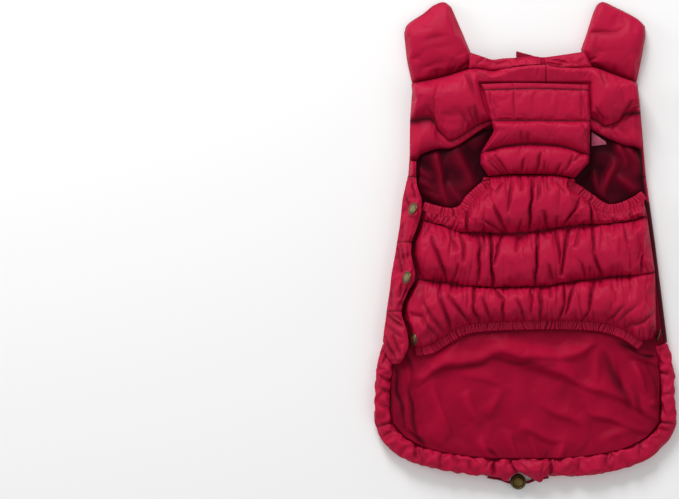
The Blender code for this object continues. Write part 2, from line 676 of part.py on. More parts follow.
def outline_prism(name, outline, low, high, material):
    """An upright prism on an outline."""
    bm = bmesh.new()
    bmesh.ops.create_circle(bm, cap_ends=True, segments=len(outline), radius=1.0)
    bm.verts.ensure_lookup_table()
    for v, (x, y) in zip(bm.verts, outline):
        v.co = (x, y, low)
    made = bmesh.ops.extrude_face_region(bm, geom=bm.faces[:], use_keep_orig=True)
    for v in [g for g in made["geom"] if isinstance(g, bmesh.types.BMVert)]:
        v.co.z = high
    return new_object(name, bm, material)


def cut(obj, cutter):
    """Cut a piece and keep the Boolean on it."""
    modifier = obj.modifiers.new("cut", "BOOLEAN")
    modifier.operation = "DIFFERENCE"
    modifier.object = cutter


def as_cutter(obj):
    """Hide a cutter and move it to the cutters' collection."""
    obj.hide_render = True
    obj.display_type = "WIRE"
    bpy.data.collections[COLLECTION].objects.unlink(obj)
    bpy.data.collections[CUTTERS].objects.link(obj)
    return obj


def make_leash_slit(back, lining, shell):
    """The slit through back and lining, and its binding round the inside."""
    cutter = as_cutter(outline_prism("slit_cutter", slit_outline(0.0), -5.0, 20.0, shell))
    cut(back, cutter)
    cut(lining, cutter)
    binding = outline_prism("leash_slit_binding", slit_outline(GAP), 1.0, LINING_TOP, shell)
    inner = slit_outline(GAP + BINDING_WALL)
    core = as_cutter(outline_prism("binding_cutter", inner, -5.0, 20.0, shell))
    cut(binding, core)


def make_patch(leather):
    """The bare leather patch on the back, between the quilting and the floor."""
    bm = bmesh.new()
    bmesh.ops.create_cube(bm, size=1.0)
    bmesh.ops.scale(bm, vec=(*PATCH_SIZE, PATCH_THICK), verts=bm.verts)
    upright = [e for e in bm.edges if abs((e.verts[0].co - e.verts[1].co).z) > 0.5]
    bmesh.ops.bevel(bm, geom=upright, offset=2.0, segments=3, affect="EDGES", profile=0.5)
    bmesh.ops.translate(bm, vec=(*PATCH_CENTRE, PATCH_THICK / 2), verts=bm.verts)
    new_object("leather_patch", bm, leather)


def make_hook_tape(tape):
    """The strip of hook tape that shows below the right strap, beside the flap."""
    outline = ((59.2, 97.4), (59.2, 84.6), (72.6, 86.2), (71.6, 88.8))
    outline_prism("hook_tape", outline, BELLY_BASE, BELLY_BASE + 1.2, tape)


def facing(tilt, heading):
    """The way that a snap faces: leaning from upright by tilt, towards a heading."""
    return Vector((sin(tilt) * cos(heading), sin(tilt) * sin(heading), cos(tilt)))


def seated(panel, top, s, t, axis):
    """Where a snap's flat back lies, just clear of the cloth behind it."""
    def surface(s, t):
        s, t = min(max(s, 0.0), 1.0), min(max(t, 0.0), panel.channels)
        return Vector((*panel.place(s, t), top(s, t)))

    here = surface(s, t)
    seat = 0.0                # above the highest point of the cloth, along the axis
    for i in range(-15, 16):
        for j in range(-12, 13):
            offset = surface(s + 0.02 * i, t + 0.02 * j) - here
            above = offset.dot(axis)
            if (offset - axis * above).length < SNAP_RADIUS + GAP:
                seat = max(seat, above)
    return here + axis * (seat + GAP)


def make_snap(name, back, axis, brass):
    """A domed snap cap, with its flat back at a point and facing along an axis."""
    bm = bmesh.new()
    profile = ((1.0, 0.0), (1.0, 0.55), (0.82, 0.88), (0.45, 1.0))
    for radius, height in profile:
        ring = bmesh.ops.create_circle(bm, cap_ends=False, segments=16,
                                       radius=radius * SNAP_RADIUS)
        bmesh.ops.translate(bm, vec=(0, 0, height * SNAP_HEIGHT), verts=ring["verts"])
    bmesh.ops.bridge_loops(bm, edges=bm.edges[:])
    bmesh.ops.holes_fill(bm, edges=[e for e in bm.edges if e.is_boundary], sides=0)
    turn = Vector((0, 0, 1)).rotation_difference(axis).to_matrix()
    bmesh.ops.rotate(bm, cent=(0, 0, 0), matrix=turn, verts=bm.verts)
    bmesh.ops.translate(bm, vec=back, verts=bm.verts)
    new_object(name, bm, brass)


def make_snaps(wrap, wrap_top, belly, belly_top, brass):
    """Two snaps on the side wrap, one below it, and one on the belly's right edge."""
    for name, panel, top, s, t, tilt, heading, fold in (
            ("snap_1", wrap, wrap_top, 0.66, 2.49, 0.96, 2.68, 0.0),
            ("snap_2", wrap, wrap_top, 0.77, 1.48, 0.98, 2.90, 0.0),
            ("snap_3", belly, belly_top, 0.062, 0.10, 0.90, 3.25, 1.3)):
        axis = facing(tilt, heading)
        back = seated(panel, top, s, t, axis) + axis * fold
        make_snap(name, back, axis, brass)
    edge = Vector((*belly.place(1.0, SNAP_4_ROW), BELLY_BASE + SNAP_RADIUS + 1.6))
    axis = facing(pi / 2, SNAP_4_HEADING)
    make_snap("snap_4", edge + Vector((SNAP_4_CLEAR, 0.0, 0.0)), axis, brass)


def make_cord_lock(bronze):
    """The cord lock: a round, domed toggle that lies on its face beside the hem."""
    bm = bmesh.new()
    profile = ((0.72, 0.0), (0.94, 0.12), (1.0, 0.3), (1.0, 0.62), (0.9, 0.86), (0.6, 1.0))
    for radius, height in profile:
        ring = bmesh.ops.create_circle(bm, cap_ends=False, segments=20,
                                       radius=radius * LOCK_RADIUS)
        bmesh.ops.translate(bm, vec=(LOCK_X, LOCK_Y, height * LOCK_HEIGHT), verts=ring["verts"])
    bmesh.ops.bridge_loops(bm, edges=bm.edges[:])
    bmesh.ops.holes_fill(bm, edges=[e for e in bm.edges if e.is_boundary], sides=0)
    new_object("cord_lock", bm, bronze)


def make_drawcords(braid):
    """Two short stretches of drawcord, from the hem's openings to the lock."""
    for name, flip in (("drawcord_left", False), ("drawcord_right", True)):
        at = smooth_line(CORD_ROUTE)
        curve = bpy.data.curves.new(name, "CURVE")
        curve.dimensions = "3D"
        curve.bevel_depth = CORD_RADIUS * MM
        curve.bevel_resolution = 2
        curve.use_fill_caps = True
        count = 9
        spline = curve.splines.new("POLY")
        spline.points.add(count - 1)
        for i, point in enumerate(spline.points):
            x, y, z = at(i / (count - 1))
            x = 2 * LOCK_X - x if flip else x
            point.co = (x * MM, y * MM, z * MM, 1.0)
        curve.materials.append(braid)
        obj = bpy.data.objects.new(name, curve)
        bpy.data.collections[COLLECTION].objects.link(obj)


def principled(name, color, roughness, metallic=0.0):
    """A plain Principled material."""
    material = bpy.data.materials.new(name)
    material.use_nodes = True
    shader = material.node_tree.nodes["Principled BSDF"]
    shader.inputs["Base Color"].default_value = (*color, 1.0)
    shader.inputs["Roughness"].default_value = roughness
    shader.inputs["Metallic"].default_value = metallic
    return material


def main():
    for obj in list(bpy.data.objects):
        bpy.data.objects.remove(obj, do_unlink=True)
    for name in (COLLECTION, CUTTERS):
        bpy.context.scene.collection.children.link(bpy.data.collections.new(name))

    shell = principled("crimson_taffeta", (0.42, 0.01, 0.045), 0.45)
    satin = principled("lining_satin", (0.30, 0.008, 0.03), 0.35)
    braid = principled("cord_braid", (0.20, 0.006, 0.02), 0.6)
    brass = principled("antique_brass", (0.26, 0.20, 0.11), 0.4, 1.0)
    bronze = principled("dark_bronze", (0.14, 0.10, 0.04), 0.4, 1.0)
    leather = principled("tan_leather", (0.40, 0.17, 0.05), 0.55)
    tape = principled("pink_hook_tape", (0.60, 0.05, 0.15), 0.8)

    back = make_back(shell)
    lining = make_lining(satin)
    make_leash_slit(back, lining, shell)
    wrap_panel, wrap_top = make_side_wrap(shell)
    belly_panel, belly_top = make_belly(shell)
    make_flap(shell)
    make_shoulders(shell)
    make_neck_tabs(shell)
    make_collar(shell)
    make_elastics(shell)
    make_patch(leather)
    make_hook_tape(tape)
    make_snaps(wrap_panel, wrap_top, belly_panel, belly_top, brass)
    make_cord_lock(bronze)
    make_drawcords(braid)


main()
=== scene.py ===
# %% [markdown]
# # A small dog's puffer jacket
#
# The jacket lies flat on its back with the belly side up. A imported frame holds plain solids
# for every piece, at the real size. This lesson dresses them: down channels are filled by
# cloth pressure, elastics are ruched, the lining gets its soft folds, and each surface gets
# the finish that it has on the real thing. All sizes are in millimetres until a mesh is made.

# %% Load the frame
from bisect import bisect_right
from collections import namedtuple
from math import cos, exp, pi, sin, sqrt

import bmesh
import bpy
import numpy as np
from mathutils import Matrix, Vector, noise
from mathutils.bvhtree import BVHTree


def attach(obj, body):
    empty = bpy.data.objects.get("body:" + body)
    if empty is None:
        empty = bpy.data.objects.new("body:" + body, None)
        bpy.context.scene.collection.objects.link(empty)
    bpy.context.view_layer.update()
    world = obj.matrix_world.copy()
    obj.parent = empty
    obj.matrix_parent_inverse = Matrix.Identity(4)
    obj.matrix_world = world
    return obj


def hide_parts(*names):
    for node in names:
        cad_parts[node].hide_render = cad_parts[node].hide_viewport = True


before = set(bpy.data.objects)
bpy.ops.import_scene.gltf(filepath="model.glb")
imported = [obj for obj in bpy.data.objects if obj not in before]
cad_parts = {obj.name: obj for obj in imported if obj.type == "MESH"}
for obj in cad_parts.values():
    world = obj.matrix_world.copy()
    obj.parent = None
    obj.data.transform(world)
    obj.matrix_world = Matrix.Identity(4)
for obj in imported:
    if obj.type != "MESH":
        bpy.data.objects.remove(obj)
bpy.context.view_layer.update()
MM = 0.001

# %% [markdown]
# The photograph looks straight down at the jacket, which lies right of the picture's middle.
# A long lens far away keeps its outline true, so the camera stays over the picture's centre
# and needs no shift.

# %% Camera
PHOTO_PX = (679, 499)
MM_PER_PX = 0.9           # one pixel of the photograph on the jacket
JACKET_PX = (526, 240)    # where the frame's origin lies in the photograph
LENS, SENSOR = 200.0, 36.0
MID_HEIGHT = 15.0         # the scale holds at the jacket's middle height

scene = bpy.context.scene
camera = bpy.data.objects.new("camera", bpy.data.cameras.new("camera"))
camera.data.lens = LENS
camera.data.sensor_width = SENSOR
view_width = PHOTO_PX[0] * MM_PER_PX
camera.location = Vector(((PHOTO_PX[0] / 2 - JACKET_PX[0]) * MM_PER_PX,
                          (JACKET_PX[1] - PHOTO_PX[1] / 2) * MM_PER_PX,
                          view_width * LENS / SENSOR + MID_HEIGHT)) * MM
camera.data.clip_end = 20.0
scene.collection.objects.link(camera)
scene.camera = camera
print("camera height in m:", round(camera.location.z, 2))

# %% [markdown]
# A shop photograph on white has a broad, soft key light and much bounce. Here the key comes
# from beyond the collar, a little from the left, so that each channel shades its rear seam.
# A low lamp at the left gives the folds that face it their shine.

# %% Floor, lights and world
def set_up(node, settings):
    """Set a node's properties and sockets. A setting that is itself a socket is linked."""
    for key, value in settings.items():
        if isinstance(value, bpy.types.NodeSocket):
            node.id_data.links.new(value, node.inputs[key])
        elif isinstance(key, str) and hasattr(node, key):
            setattr(node, key, value)
        else:
            node.inputs[key].default_value = value


def add_node(tree, kind, settings, output):
    """Add a node, set it up and return one of its outputs."""
    node = tree.nodes.new("ShaderNode" + kind)
    set_up(node, settings)
    return node.outputs[output]


def linear(hex_colour):
    """An sRGB hex colour as linear RGBA."""
    channels = [int(hex_colour[i:i + 2], 16) / 255 for i in (1, 3, 5)]
    return (*[c / 12.92 if c <= 0.04045 else ((c + 0.055) / 1.055) ** 2.4 for c in channels],
            1.0)


def new_material(name):
    """A material with its node tree and its shader."""
    material = bpy.data.materials.new(name)
    material.use_nodes = True
    return material, material.node_tree, material.node_tree.nodes["Principled BSDF"]


def add_object(name, bm):
    """Turn a bmesh in millimetres into an object in metres at the origin."""
    bmesh.ops.scale(bm, vec=(MM, MM, MM), verts=bm.verts)
    mesh = bpy.data.meshes.new(name)
    bm.to_mesh(mesh)
    bm.free()
    mesh.shade_smooth()
    piece = bpy.data.objects.new(name, mesh)
    scene.collection.objects.link(piece)
    return piece


FLOOR_HALF = 4000.0
bm = bmesh.new()
bmesh.ops.create_grid(bm, x_segments=1, y_segments=1, size=FLOOR_HALF)
floor = add_object("floor", bm)
paper, _, paper_shader = new_material("white paper sweep")
set_up(paper_shader, {"Base Color": linear("#F4F4F4"), "Roughness": 0.9})
floor.data.materials.append(paper)

Lamp = namedtuple("Lamp", "place size watts")
LAMPS = {
    "key": Lamp((-0.5, 1.65, 1.2), 0.8, 30.0),
    "fill": Lamp((1.0, -0.7, 1.8), 1.4, 5.0),
    "side": Lamp((-1.7, 0.5, 0.8), 0.6, 6.0),
}
for name, lamp in LAMPS.items():
    light = bpy.data.lights.new(name, "AREA")
    light.size = lamp.size
    light.energy = lamp.watts
    holder = bpy.data.objects.new(name, light)
    holder.location = lamp.place
    holder.rotation_euler = (-Vector(lamp.place)).to_track_quat("-Z", "Y").to_euler()
    scene.collection.objects.link(holder)

scene.world = bpy.data.worlds.new("studio")
scene.world.use_nodes = True
set_up(scene.world.node_tree.nodes["Background"],
       {"Color": (1.0, 1.0, 1.0, 1.0), "Strength": 0.5})
scene.view_settings.view_transform = "Standard"
print("lamps:", list(LAMPS))

# %% [markdown]
# ## Finishes
#
# The shell is nylon taffeta, a close plain weave of fine filament yarn that is calendered
# under heat, which gives it a soft shine. Its threads are 0.15 mm apart, too fine to show, so
# the weave is drawn at 0.7 mm. The cloth's colour is painted darker where the attribute named
# seam is 1: painted shade in the seams, folds and hollows, where little light reaches.

# %% Woven cloths
# the attribute holds the painted shade on the cloths; on the metals and the leather it marks the
# dark plating and the dark cut edge
PAINTED_SHADE_AND_DARK_FINISH = "seam"             # the attribute: 0 on plain cloth, 1 where it is darkest
WAVE = 0.314              # a wave texture of scale 1 repeats at this length, in metres


def mixed(tree, share, low, high):
    """A colour between two others, by a share from 0 to 1."""
    return add_node(tree, "Mix", {"data_type": "RGBA", 0: share, 6: low, 7: high}, 2)


def shade_and_finish_share(tree):
    return add_node(tree, "Attribute", {"attribute_name": PAINTED_SHADE_AND_DARK_FINISH}, "Fac")


def ranged(tree, share, low, high):
    return add_node(tree, "MapRange", {"To Min": low, "To Max": high, "Value": share}, "Result")


def bumped(tree, height, strength, depth_mm, **under):
    return add_node(tree, "Bump", {"Strength": strength, "Distance": depth_mm * MM,
                                   "Height": height, **under}, "Normal")


def noisy(tree, where, scale, detail, **more):
    return add_node(tree, "TexNoise", {"Scale": scale, "Detail": detail, "Vector": where,
                                       **more}, "Fac")


def woven(name, light, dark, seam, thread_mm, roughness, sheen, relief, shine=0.1):
    """A plain weave: two crossed sets of threads, with slow changes of tone and shine."""
    material, tree, shader = new_material(name)
    where = add_node(tree, "TexCoord", {}, "Object")
    warp, weft = [add_node(tree, "TexWave", {
        "bands_direction": axis, "Scale": WAVE / (thread_mm * MM), "Distortion": 0.6,
        "Detail Scale": 2.0, "Vector": where}, "Fac") for axis in "XY"]
    weave = add_node(tree, "Math", {"operation": "MAXIMUM", 0: warp, 1: weft}, 0)
    cloud = noisy(tree, where, 28.0, 4.0)
    crush = noisy(tree, where, 170.0, 5.0, Roughness=0.6)
    tone = mixed(tree, cloud, linear(dark), linear(light))
    # the seam colour is painted shade, mixed in by the attribute
    set_up(shader, {
        "Base Color": mixed(tree, shade_and_finish_share(tree), tone, linear(seam)),
        "Roughness": ranged(tree, cloud, roughness - 0.05, roughness + 0.06),
        "Normal": bumped(tree, crush, 0.2, 0.4, Normal=bumped(tree, weave, relief, 0.1)),
        "Sheen Weight": sheen, "Sheen Roughness": 0.4, "Sheen Tint": linear("#F0608A"),
        "IOR": 1.5, "Specular IOR Level": shine})
    return material


# each cloth: light and dark tone, then the colour of its painted shade
taffeta = woven("nylon taffeta", "#B4103A", "#A60C34", "#36000C", 0.7, 0.5, 0.02, 0.2)
satin = woven("lining satin", "#AC0A34", "#94062A", "#2C000B", 0.9, 0.52, 0.0, 0.1, 0.05)
hooks_cloth = woven("woven hook tape", "#E07894", "#CC5C7C", "#8A1C38", 1.3, 0.75, 0.2, 0.8)
thread = woven("polyester thread", "#6A0A22", "#54061A", "#3C0410", 0.6, 0.6, 0.05, 0.4)
braid = woven("braided elastic cord", "#8A1030", "#6E0A24", "#500618", 1.2, 0.6, 0.1, 0.9)
print("woven cloths:", [m.name for m in bpy.data.materials if m is not paper])

# %% [markdown]
# The snaps and the cord lock are pressed brass with an antique finish: plated dark, then
# brushed on a wheel, so the raised faces are bright again and the corners keep the dark
# plating. The patch is vegetable-tanned leather, smooth with a fine pore, its cut edge dark.

# %% Metals and leather
def brushed(name, bright, dark, roughness, stroke_mm):
    """Antique plating, brushed bright in fine parallel strokes."""
    material, tree, shader = new_material(name)
    where = add_node(tree, "TexCoord", {}, "Object")
    along = add_node(tree, "Mapping", {"Scale": (1.0, 0.06, 1.0), "Vector": where}, "Vector")
    strokes = noisy(tree, along, 1 / (stroke_mm * MM), 3.0)
    set_up(shader, {
        "Base Color": mixed(tree, shade_and_finish_share(tree), linear(bright), linear(dark)),
        "Roughness": ranged(tree, strokes, roughness - 0.08, roughness + 0.12),
        "Normal": bumped(tree, strokes, 0.3, 0.05), "Metallic": 1.0})
    return material


def tanned(name, light, dark, edge, pore_mm):
    """Leather: a fine grain of pores, cloudy in tone, with a dark cut edge."""
    material, tree, shader = new_material(name)
    where = add_node(tree, "TexCoord", {}, "Object")
    pores = add_node(tree, "TexVoronoi", {"Scale": 1 / (pore_mm * MM), "Vector": where},
                     "Distance")
    tone = mixed(tree, noisy(tree, where, 90.0, 5.0), linear(dark), linear(light))
    set_up(shader, {"Base Color": mixed(tree, shade_and_finish_share(tree), tone, linear(edge)),
                    "Normal": bumped(tree, pores, 0.4, 0.15), "Roughness": 0.5})
    return material


brass = brushed("antique brass", "#8C7C58", "#3E3626", 0.38, 0.25)
bronze = brushed("antique bronze", "#6E5C34", "#2A2216", 0.42, 0.3)
leather = tanned("vegetable-tanned leather", "#B27A40", "#96602C", "#5C3416", 0.7)
print("metals and leather:", brass.name, bronze.name, leather.name)

# %% [markdown]
# ## Laying out cloth
#
# A seam is drawn as a smooth line through a few measured points. Between seams a piece is a
# grid, so every seam falls on a row of points and stays crisp.

# %% Smooth lines and folds
def unit(value):
    """A value kept between 0 and 1."""
    return min(max(value, 0.0), 1.0)


def rough(x, y, z):
    """Smooth noise between -1 and 1."""
    return noise.noise(Vector((x, y, z)))


def smooth_line(points):
    """A function that gives the point at a fraction of a smooth line's length."""
    knots = [Vector(p) for p in points]
    reach = [0.0]
    for a, b in zip(knots, knots[1:]):
        reach.append(reach[-1] + (b - a).length)
    last = len(knots) - 1

    def slope(i):
        before, after = max(i - 1, 0), min(i + 1, last)
        return (knots[after] - knots[before]) / (reach[after] - reach[before])

    slopes = [slope(i) for i in range(last + 1)]

    def at(fraction):
        distance = unit(fraction) * reach[-1]
        i = min(bisect_right(reach, distance) - 1, last - 1)
        span = reach[i + 1] - reach[i]
        f = (distance - reach[i]) / span
        return ((2 * f**3 - 3 * f**2 + 1) * knots[i] + (f**3 - 2 * f**2 + f) * span * slopes[i]
                + (3 * f**2 - 2 * f**3) * knots[i + 1] + (f**3 - f**2) * span * slopes[i + 1])

    at.length = reach[-1]
    return at


def right_of(line, f, step):
    """The way to the right of a line, measured a step before and after a fraction of it."""
    ahead = (line(min(f + step, 1.0)) - line(max(f - step, 0.0))).normalized()
    return Vector((ahead.y, -ahead.x))


def beside(line, fractions, distance):
    """Points at one side of a line."""
    return [tuple(line(f) + right_of(line, f, 0.02) * distance) for f in fractions]


Crease = namedtuple("Crease", "x y dx dy length depth left right box")


def crease(x0, y0, x1, y1, depth, width, other=None):
    """A fold from one point to another, how deep, and how wide to its left and right."""
    other = other or width
    reach = 3.2 * max(width, other) + 2.0
    box = (min(x0, x1) - reach, max(x0, x1) + reach, min(y0, y1) - reach, max(y0, y1) + reach)
    return Crease(x0, y0, x1 - x0, y1 - y0, sqrt((x1 - x0) ** 2 + (y1 - y0) ** 2), depth,
                  width, other, box)


def creases(*rows):
    return [crease(*row) for row in rows]


def trough(folds, x, y, sharp=1.3, bend=1.3, slow=1.0):
    """Depth of the hand-placed folds at a point: slightly bent, tapered at their ends."""
    depth = 0.0
    x, y = (x + bend * rough(x * 0.05 * slow, y * 0.09 * slow, 1.0),
            y + bend * rough(x * 0.09 * slow, y * 0.05 * slow, 4.0))
    for c in folds:
        if c.box[0] < x < c.box[1] and c.box[2] < y < c.box[3]:
            px, py = x - c.x, y - c.y
            f = unit((px * c.dx + py * c.dy) / c.length ** 2)
            off = sqrt((px - f * c.dx) ** 2 + (py - f * c.dy) ** 2)
            lean = (c.dx * py - c.dy * px) / (c.length * off + 1e-9)
            width = c.right + (c.left - c.right) * (0.5 + 0.5 * lean)
            taper = sin(pi * (0.1 + 0.8 * f)) ** 0.5
            depth = max(depth, c.depth * taper * exp(-(off / width) ** sharp))
    return depth


def chance(cell, key):
    """A fixed number between 0 and 1 for one pleat."""
    return (sin(cell * 12.99 + key * 78.23) * 43758.55) % 1.0


def swell(f):
    """How full a channel is between its seams: 0 at a seam, 1 in the middle."""
    return (1 - abs(2 * f - 1) ** 2.6) ** 0.55


print("a channel is", round(swell(0.1), 2), "full a tenth of the way in")

# %% [markdown]
# A seam has a line, a height, the rise of the channel that starts there, and small pleats
# that run off it. One that isn't sewn through only guides the cloth's outline.

# %% Quilted grids
Gather = namedtuple("Gather", "pitch depth reach width", defaults=(1.0,))
Seam = namedtuple("Seam", "line z puff sewn gather", defaults=(True, ()))
# dark: how much shade is painted on the point, from the seams and folds near it
Spot = namedtuple("Spot", "x y z relief dark held")
FULL_CHANNEL = 24.0       # a channel of this width rises fully
HELD_REACH = 0.4          # cloth is held this near to a seam or an edge
INSET_REACH = 2.0         # folds start this far in from a side edge
SHADE_REACH = 2.2         # a seam's dark line reaches this far


class Quilt:
    """The layout of a quilted piece: where each point of its grid lies before filling."""

    def __init__(self, seams, edge_z, rounding=12.0, out=1, creases=(), crumple=1.0):
        self.seams = seams
        self.lines = [smooth_line(seam.line) for seam in seams]
        self.edge_z = edge_z
        self.rounding = rounding if isinstance(rounding, tuple) else (rounding, rounding)
        self.out = out
        self.creases = creases
        self.crumple = crumple
        self.sewn = [i for i, seam in enumerate(seams) if seam.sewn]

    def steps(self, pitch):
        """Places of the columns and of the rows."""
        across = max(round(max(line.length for line in self.lines) / pitch), 4)
        rows = []
        for i in range(len(self.seams) - 1):
            depth = (self.lines[i](0.5) - self.lines[i + 1](0.5)).length
            count = max(round(depth / pitch), 1)
            rows += [i + k / count for k in range(count)]
        return [i / across for i in range(across + 1)], rows + [len(self.seams) - 1.0]

    def place(self, s, t):
        i = min(int(t), len(self.seams) - 2)
        return self.lines[i](s).lerp(self.lines[i + 1](s), t - i)

    def seam_z(self, i, s):
        z = self.seams[i].z
        return z(self.lines[i](s)) if callable(z) else z

    def gathered(self, i, s, near):
        """Depth of the pleats that run off a seam, uneven in pitch, depth and reach."""
        along, depth = s * self.lines[i].length, 0.0
        for k, gather in enumerate(self.seams[i].gather):
            phase = along / gather.pitch + 1.1 * rough(along * 0.09, 7.7 * i, k)
            cell, key = round(phase), i + 31 * k
            reach = gather.reach * (0.4 + 1.4 * chance(cell, key + 9) ** 2)
            if near < 3 * reach:
                lean = (chance(cell, key + 5) - 0.5) * 0.5
                off = abs((phase - cell) * gather.pitch - near * lean) / gather.width
                fade = exp(-(near / reach) ** 1.5) * (1 - exp(-(near / 0.9) ** 2))
                size = gather.depth * (0.3 + 0.7 * chance(cell, key + 1))
                depth = max(depth, size * exp(-off ** 1.3) * fade)
        return depth

    def relief(self, x, y, s, inset, *seams_near):
        """Depth of the folds and pleats at a point, none at the side edges."""
        deepest = max(trough(self.creases, x, y),
                      *(self.gathered(i, s, near) for i, near in seams_near))
        return deepest * min(inset / INSET_REACH, 1.0)

    def side(self, s):
        """How far in from the nearer side edge, and that edge's rounding, 0 to 1."""
        span = max(line.length for line in self.lines)
        left, right = s * span, (1 - s) * span
        return min(left, right), min(
            sqrt(1 - (1 - min(inset / wide, 1.0)) ** 2) if wide else 1.0
            for inset, wide in zip((left, right), self.rounding))

    def spot(self, s, t):
        """Where a point lies before filling, its folds' depth and how much shade is painted on it.
        """
        below = max(i for i in self.sewn if i <= t + 1e-6)
        above = min((i for i in self.sewn if i > t + 1e-6), default=below)
        if above == below:
            below = self.sewn[-2]
        f = (t - below) / (above - below)
        depth = (self.place(s, above) - self.place(s, below)).length
        x, y = self.place(s, t)
        inset, edge = self.side(s)
        low, high = self.seam_z(below, s), self.seam_z(above, s)
        level = self.edge_z + (low + f * (high - low) - self.edge_z) * edge
        rise = self.seams[below].puff * min(depth / FULL_CHANNEL, 1.0) * swell(f) * edge
        relief = self.relief(x, y, s, inset, (below, f * depth), (above, (1 - f) * depth))
        rise -= min(0.5 * relief, 0.7 * rise)
        rise += self.crumple * rough(x * 0.11, y * 0.035, 3.1 * below) * swell(f) * edge
        # painted shade: darker in the folds and near each seam, less at the first and last seam
        near, last, dark = min(f, 1 - f) * depth, len(self.seams) - 1, 0.15 * relief
        for i, far in ((below, f * depth), (above, (1 - f) * depth)):
            strength = 0.4 if i in (0, last) else 0.95
            dark = max(dark, strength * max(1 - far / SHADE_REACH, 0.0) ** 2)
        return Spot(x, y, level + self.out * rise, relief, min(dark, 1.0),
                    min(near, inset) < HELD_REACH)


print("a channel", FULL_CHANNEL, "mm wide rises fully")

# %% [markdown]
# ## Filling with down
#
# A down channel is two cloths with more cloth than the seam is long. The filling presses the
# spare cloth out until it is taut, and what is still spare gathers in puckers at the seam.
# Blender's Cloth does the same: the seams are pinned, the springs are made longer than the
# cloth that lies there, and air pressure fills it. The sharp pleats are pressed in after it,
# on the finer mesh, because the cloth's own folds can't be narrower than its grid.

# %% The filling
PINNED = "held"
PRESSED = 0.75            # share of a fold's depth that is pressed in after the filling
CLOTH = {"quality": 5, "mass": 0.05, "tension_stiffness": 15.0, "compression_stiffness": 15.0,
         "shear_stiffness": 5.0, "tension_damping": 2.0, "compression_damping": 2.0,
         "bending_damping": 0.1, "use_pressure": True, "vertex_group_mass": PINNED}


def lay_skin(name, quilt, pitch, hold=None):
    """A grid of cloth laid over a quilt's layout, with its seams and edges held."""
    columns, rows = quilt.steps(pitch)
    bm = bmesh.new()
    painted_shade, held, at_column, at_row = [
        bm.verts.layers.float.new(layer) for layer in (PAINTED_SHADE_AND_DARK_FINISH, PINNED, "across", "along")]
    across, along = len(columns) - 1, len(rows) - 1
    bmesh.ops.create_grid(bm, x_segments=across, y_segments=along, size=0.5)
    for v in bm.verts:
        s = columns[round((v.co.x + 0.5) * across)]
        t = rows[round((v.co.y + 0.5) * along)]
        spot = quilt.spot(s, t)
        z = spot.z
        v[at_column], v[at_row], v[painted_shade] = s, t, spot.dark
        v[held] = 1.0 if spot.held else 0.0
        if hold:
            kept = hold(spot.x, spot.y, z)
            if kept is not None:
                z, v[held] = kept, 1.0
        v.co = (spot.x, spot.y, z)
    if quilt.out < 0:
        bmesh.ops.reverse_faces(bm, faces=bm.faces)
    return add_object(name, bm)


def evaluated(piece):
    return piece.evaluated_get(bpy.context.evaluated_depsgraph_get())


def apply_modifiers(piece):
    """Make a piece's modifiers part of its mesh."""
    old = piece.data
    piece.data = bpy.data.meshes.new_from_object(evaluated(piece))
    piece.modifiers.clear()
    bpy.data.meshes.remove(old)


def fill(skin, ease, pressure, most, frames=16, stiff=0.05):
    """Let pressure fill a skin, cap how far its points move, and smooth it."""
    mesh = skin.data
    start = np.array([v.co for v in mesh.vertices])
    group = skin.vertex_groups.new(name=PINNED)
    group.add([i for i, item in enumerate(mesh.attributes[PINNED].data)
               if item.value > 0.5], 1.0, "REPLACE")
    cloth = skin.modifiers.new("filling", "CLOTH")
    for key, value in {**CLOTH, "bending_stiffness": stiff, "shrink_min": -ease,
                       "uniform_pressure_force": pressure}.items():
        setattr(cloth.settings, key, value)
    cloth.settings.effector_weights.gravity = 0.0
    cloth.collision_settings.use_collision = False
    cloth.point_cache.frame_end = frames
    for step in range(1, frames + 1):
        scene.frame_set(step)
    moved = np.array([v.co for v in evaluated(skin).data.vertices]) - start
    length = np.linalg.norm(moved, axis=1, keepdims=True)
    moved *= np.minimum(1.0, most * MM / np.maximum(length, 1e-9))
    skin.modifiers.clear()
    skin.vertex_groups.clear()
    mesh.vertices.foreach_set("co", (start + moved).ravel())
    scene.frame_set(1)
    rounded = skin.modifiers.new("rounded", "SUBSURF")
    rounded.levels = 1
    rounded.render_levels = 1
    apply_modifiers(skin)


def press_folds(skin, quilt):
    """Press the sharp folds into a filled skin, and paint shade into them and the seams."""
    mesh = skin.data
    across, along = mesh.attributes["across"].data, mesh.attributes["along"].data
    shade = mesh.attributes[PAINTED_SHADE_AND_DARK_FINISH].data
    last = len(quilt.seams) - 1
    for i, v in enumerate(mesh.vertices):
        spot = quilt.spot(unit(across[i].value), min(max(along[i].value, 0.0), float(last)))
        shade[i].value = spot.dark
        v.co.z -= quilt.out * PRESSED * spot.relief * MM
    for name in ("across", "along", PINNED):
        mesh.attributes.remove(mesh.attributes[name])


def new_verts(made):
    """The vertices that an extrusion made."""
    return [g for g in made["geom"] if isinstance(g, bmesh.types.BMVert)]


def open_edges(bm):
    return [e for e in bm.edges if e.is_boundary]


def extrude_all(bm):
    return new_verts(bmesh.ops.extrude_face_region(bm, geom=bm.faces[:], use_keep_orig=True))


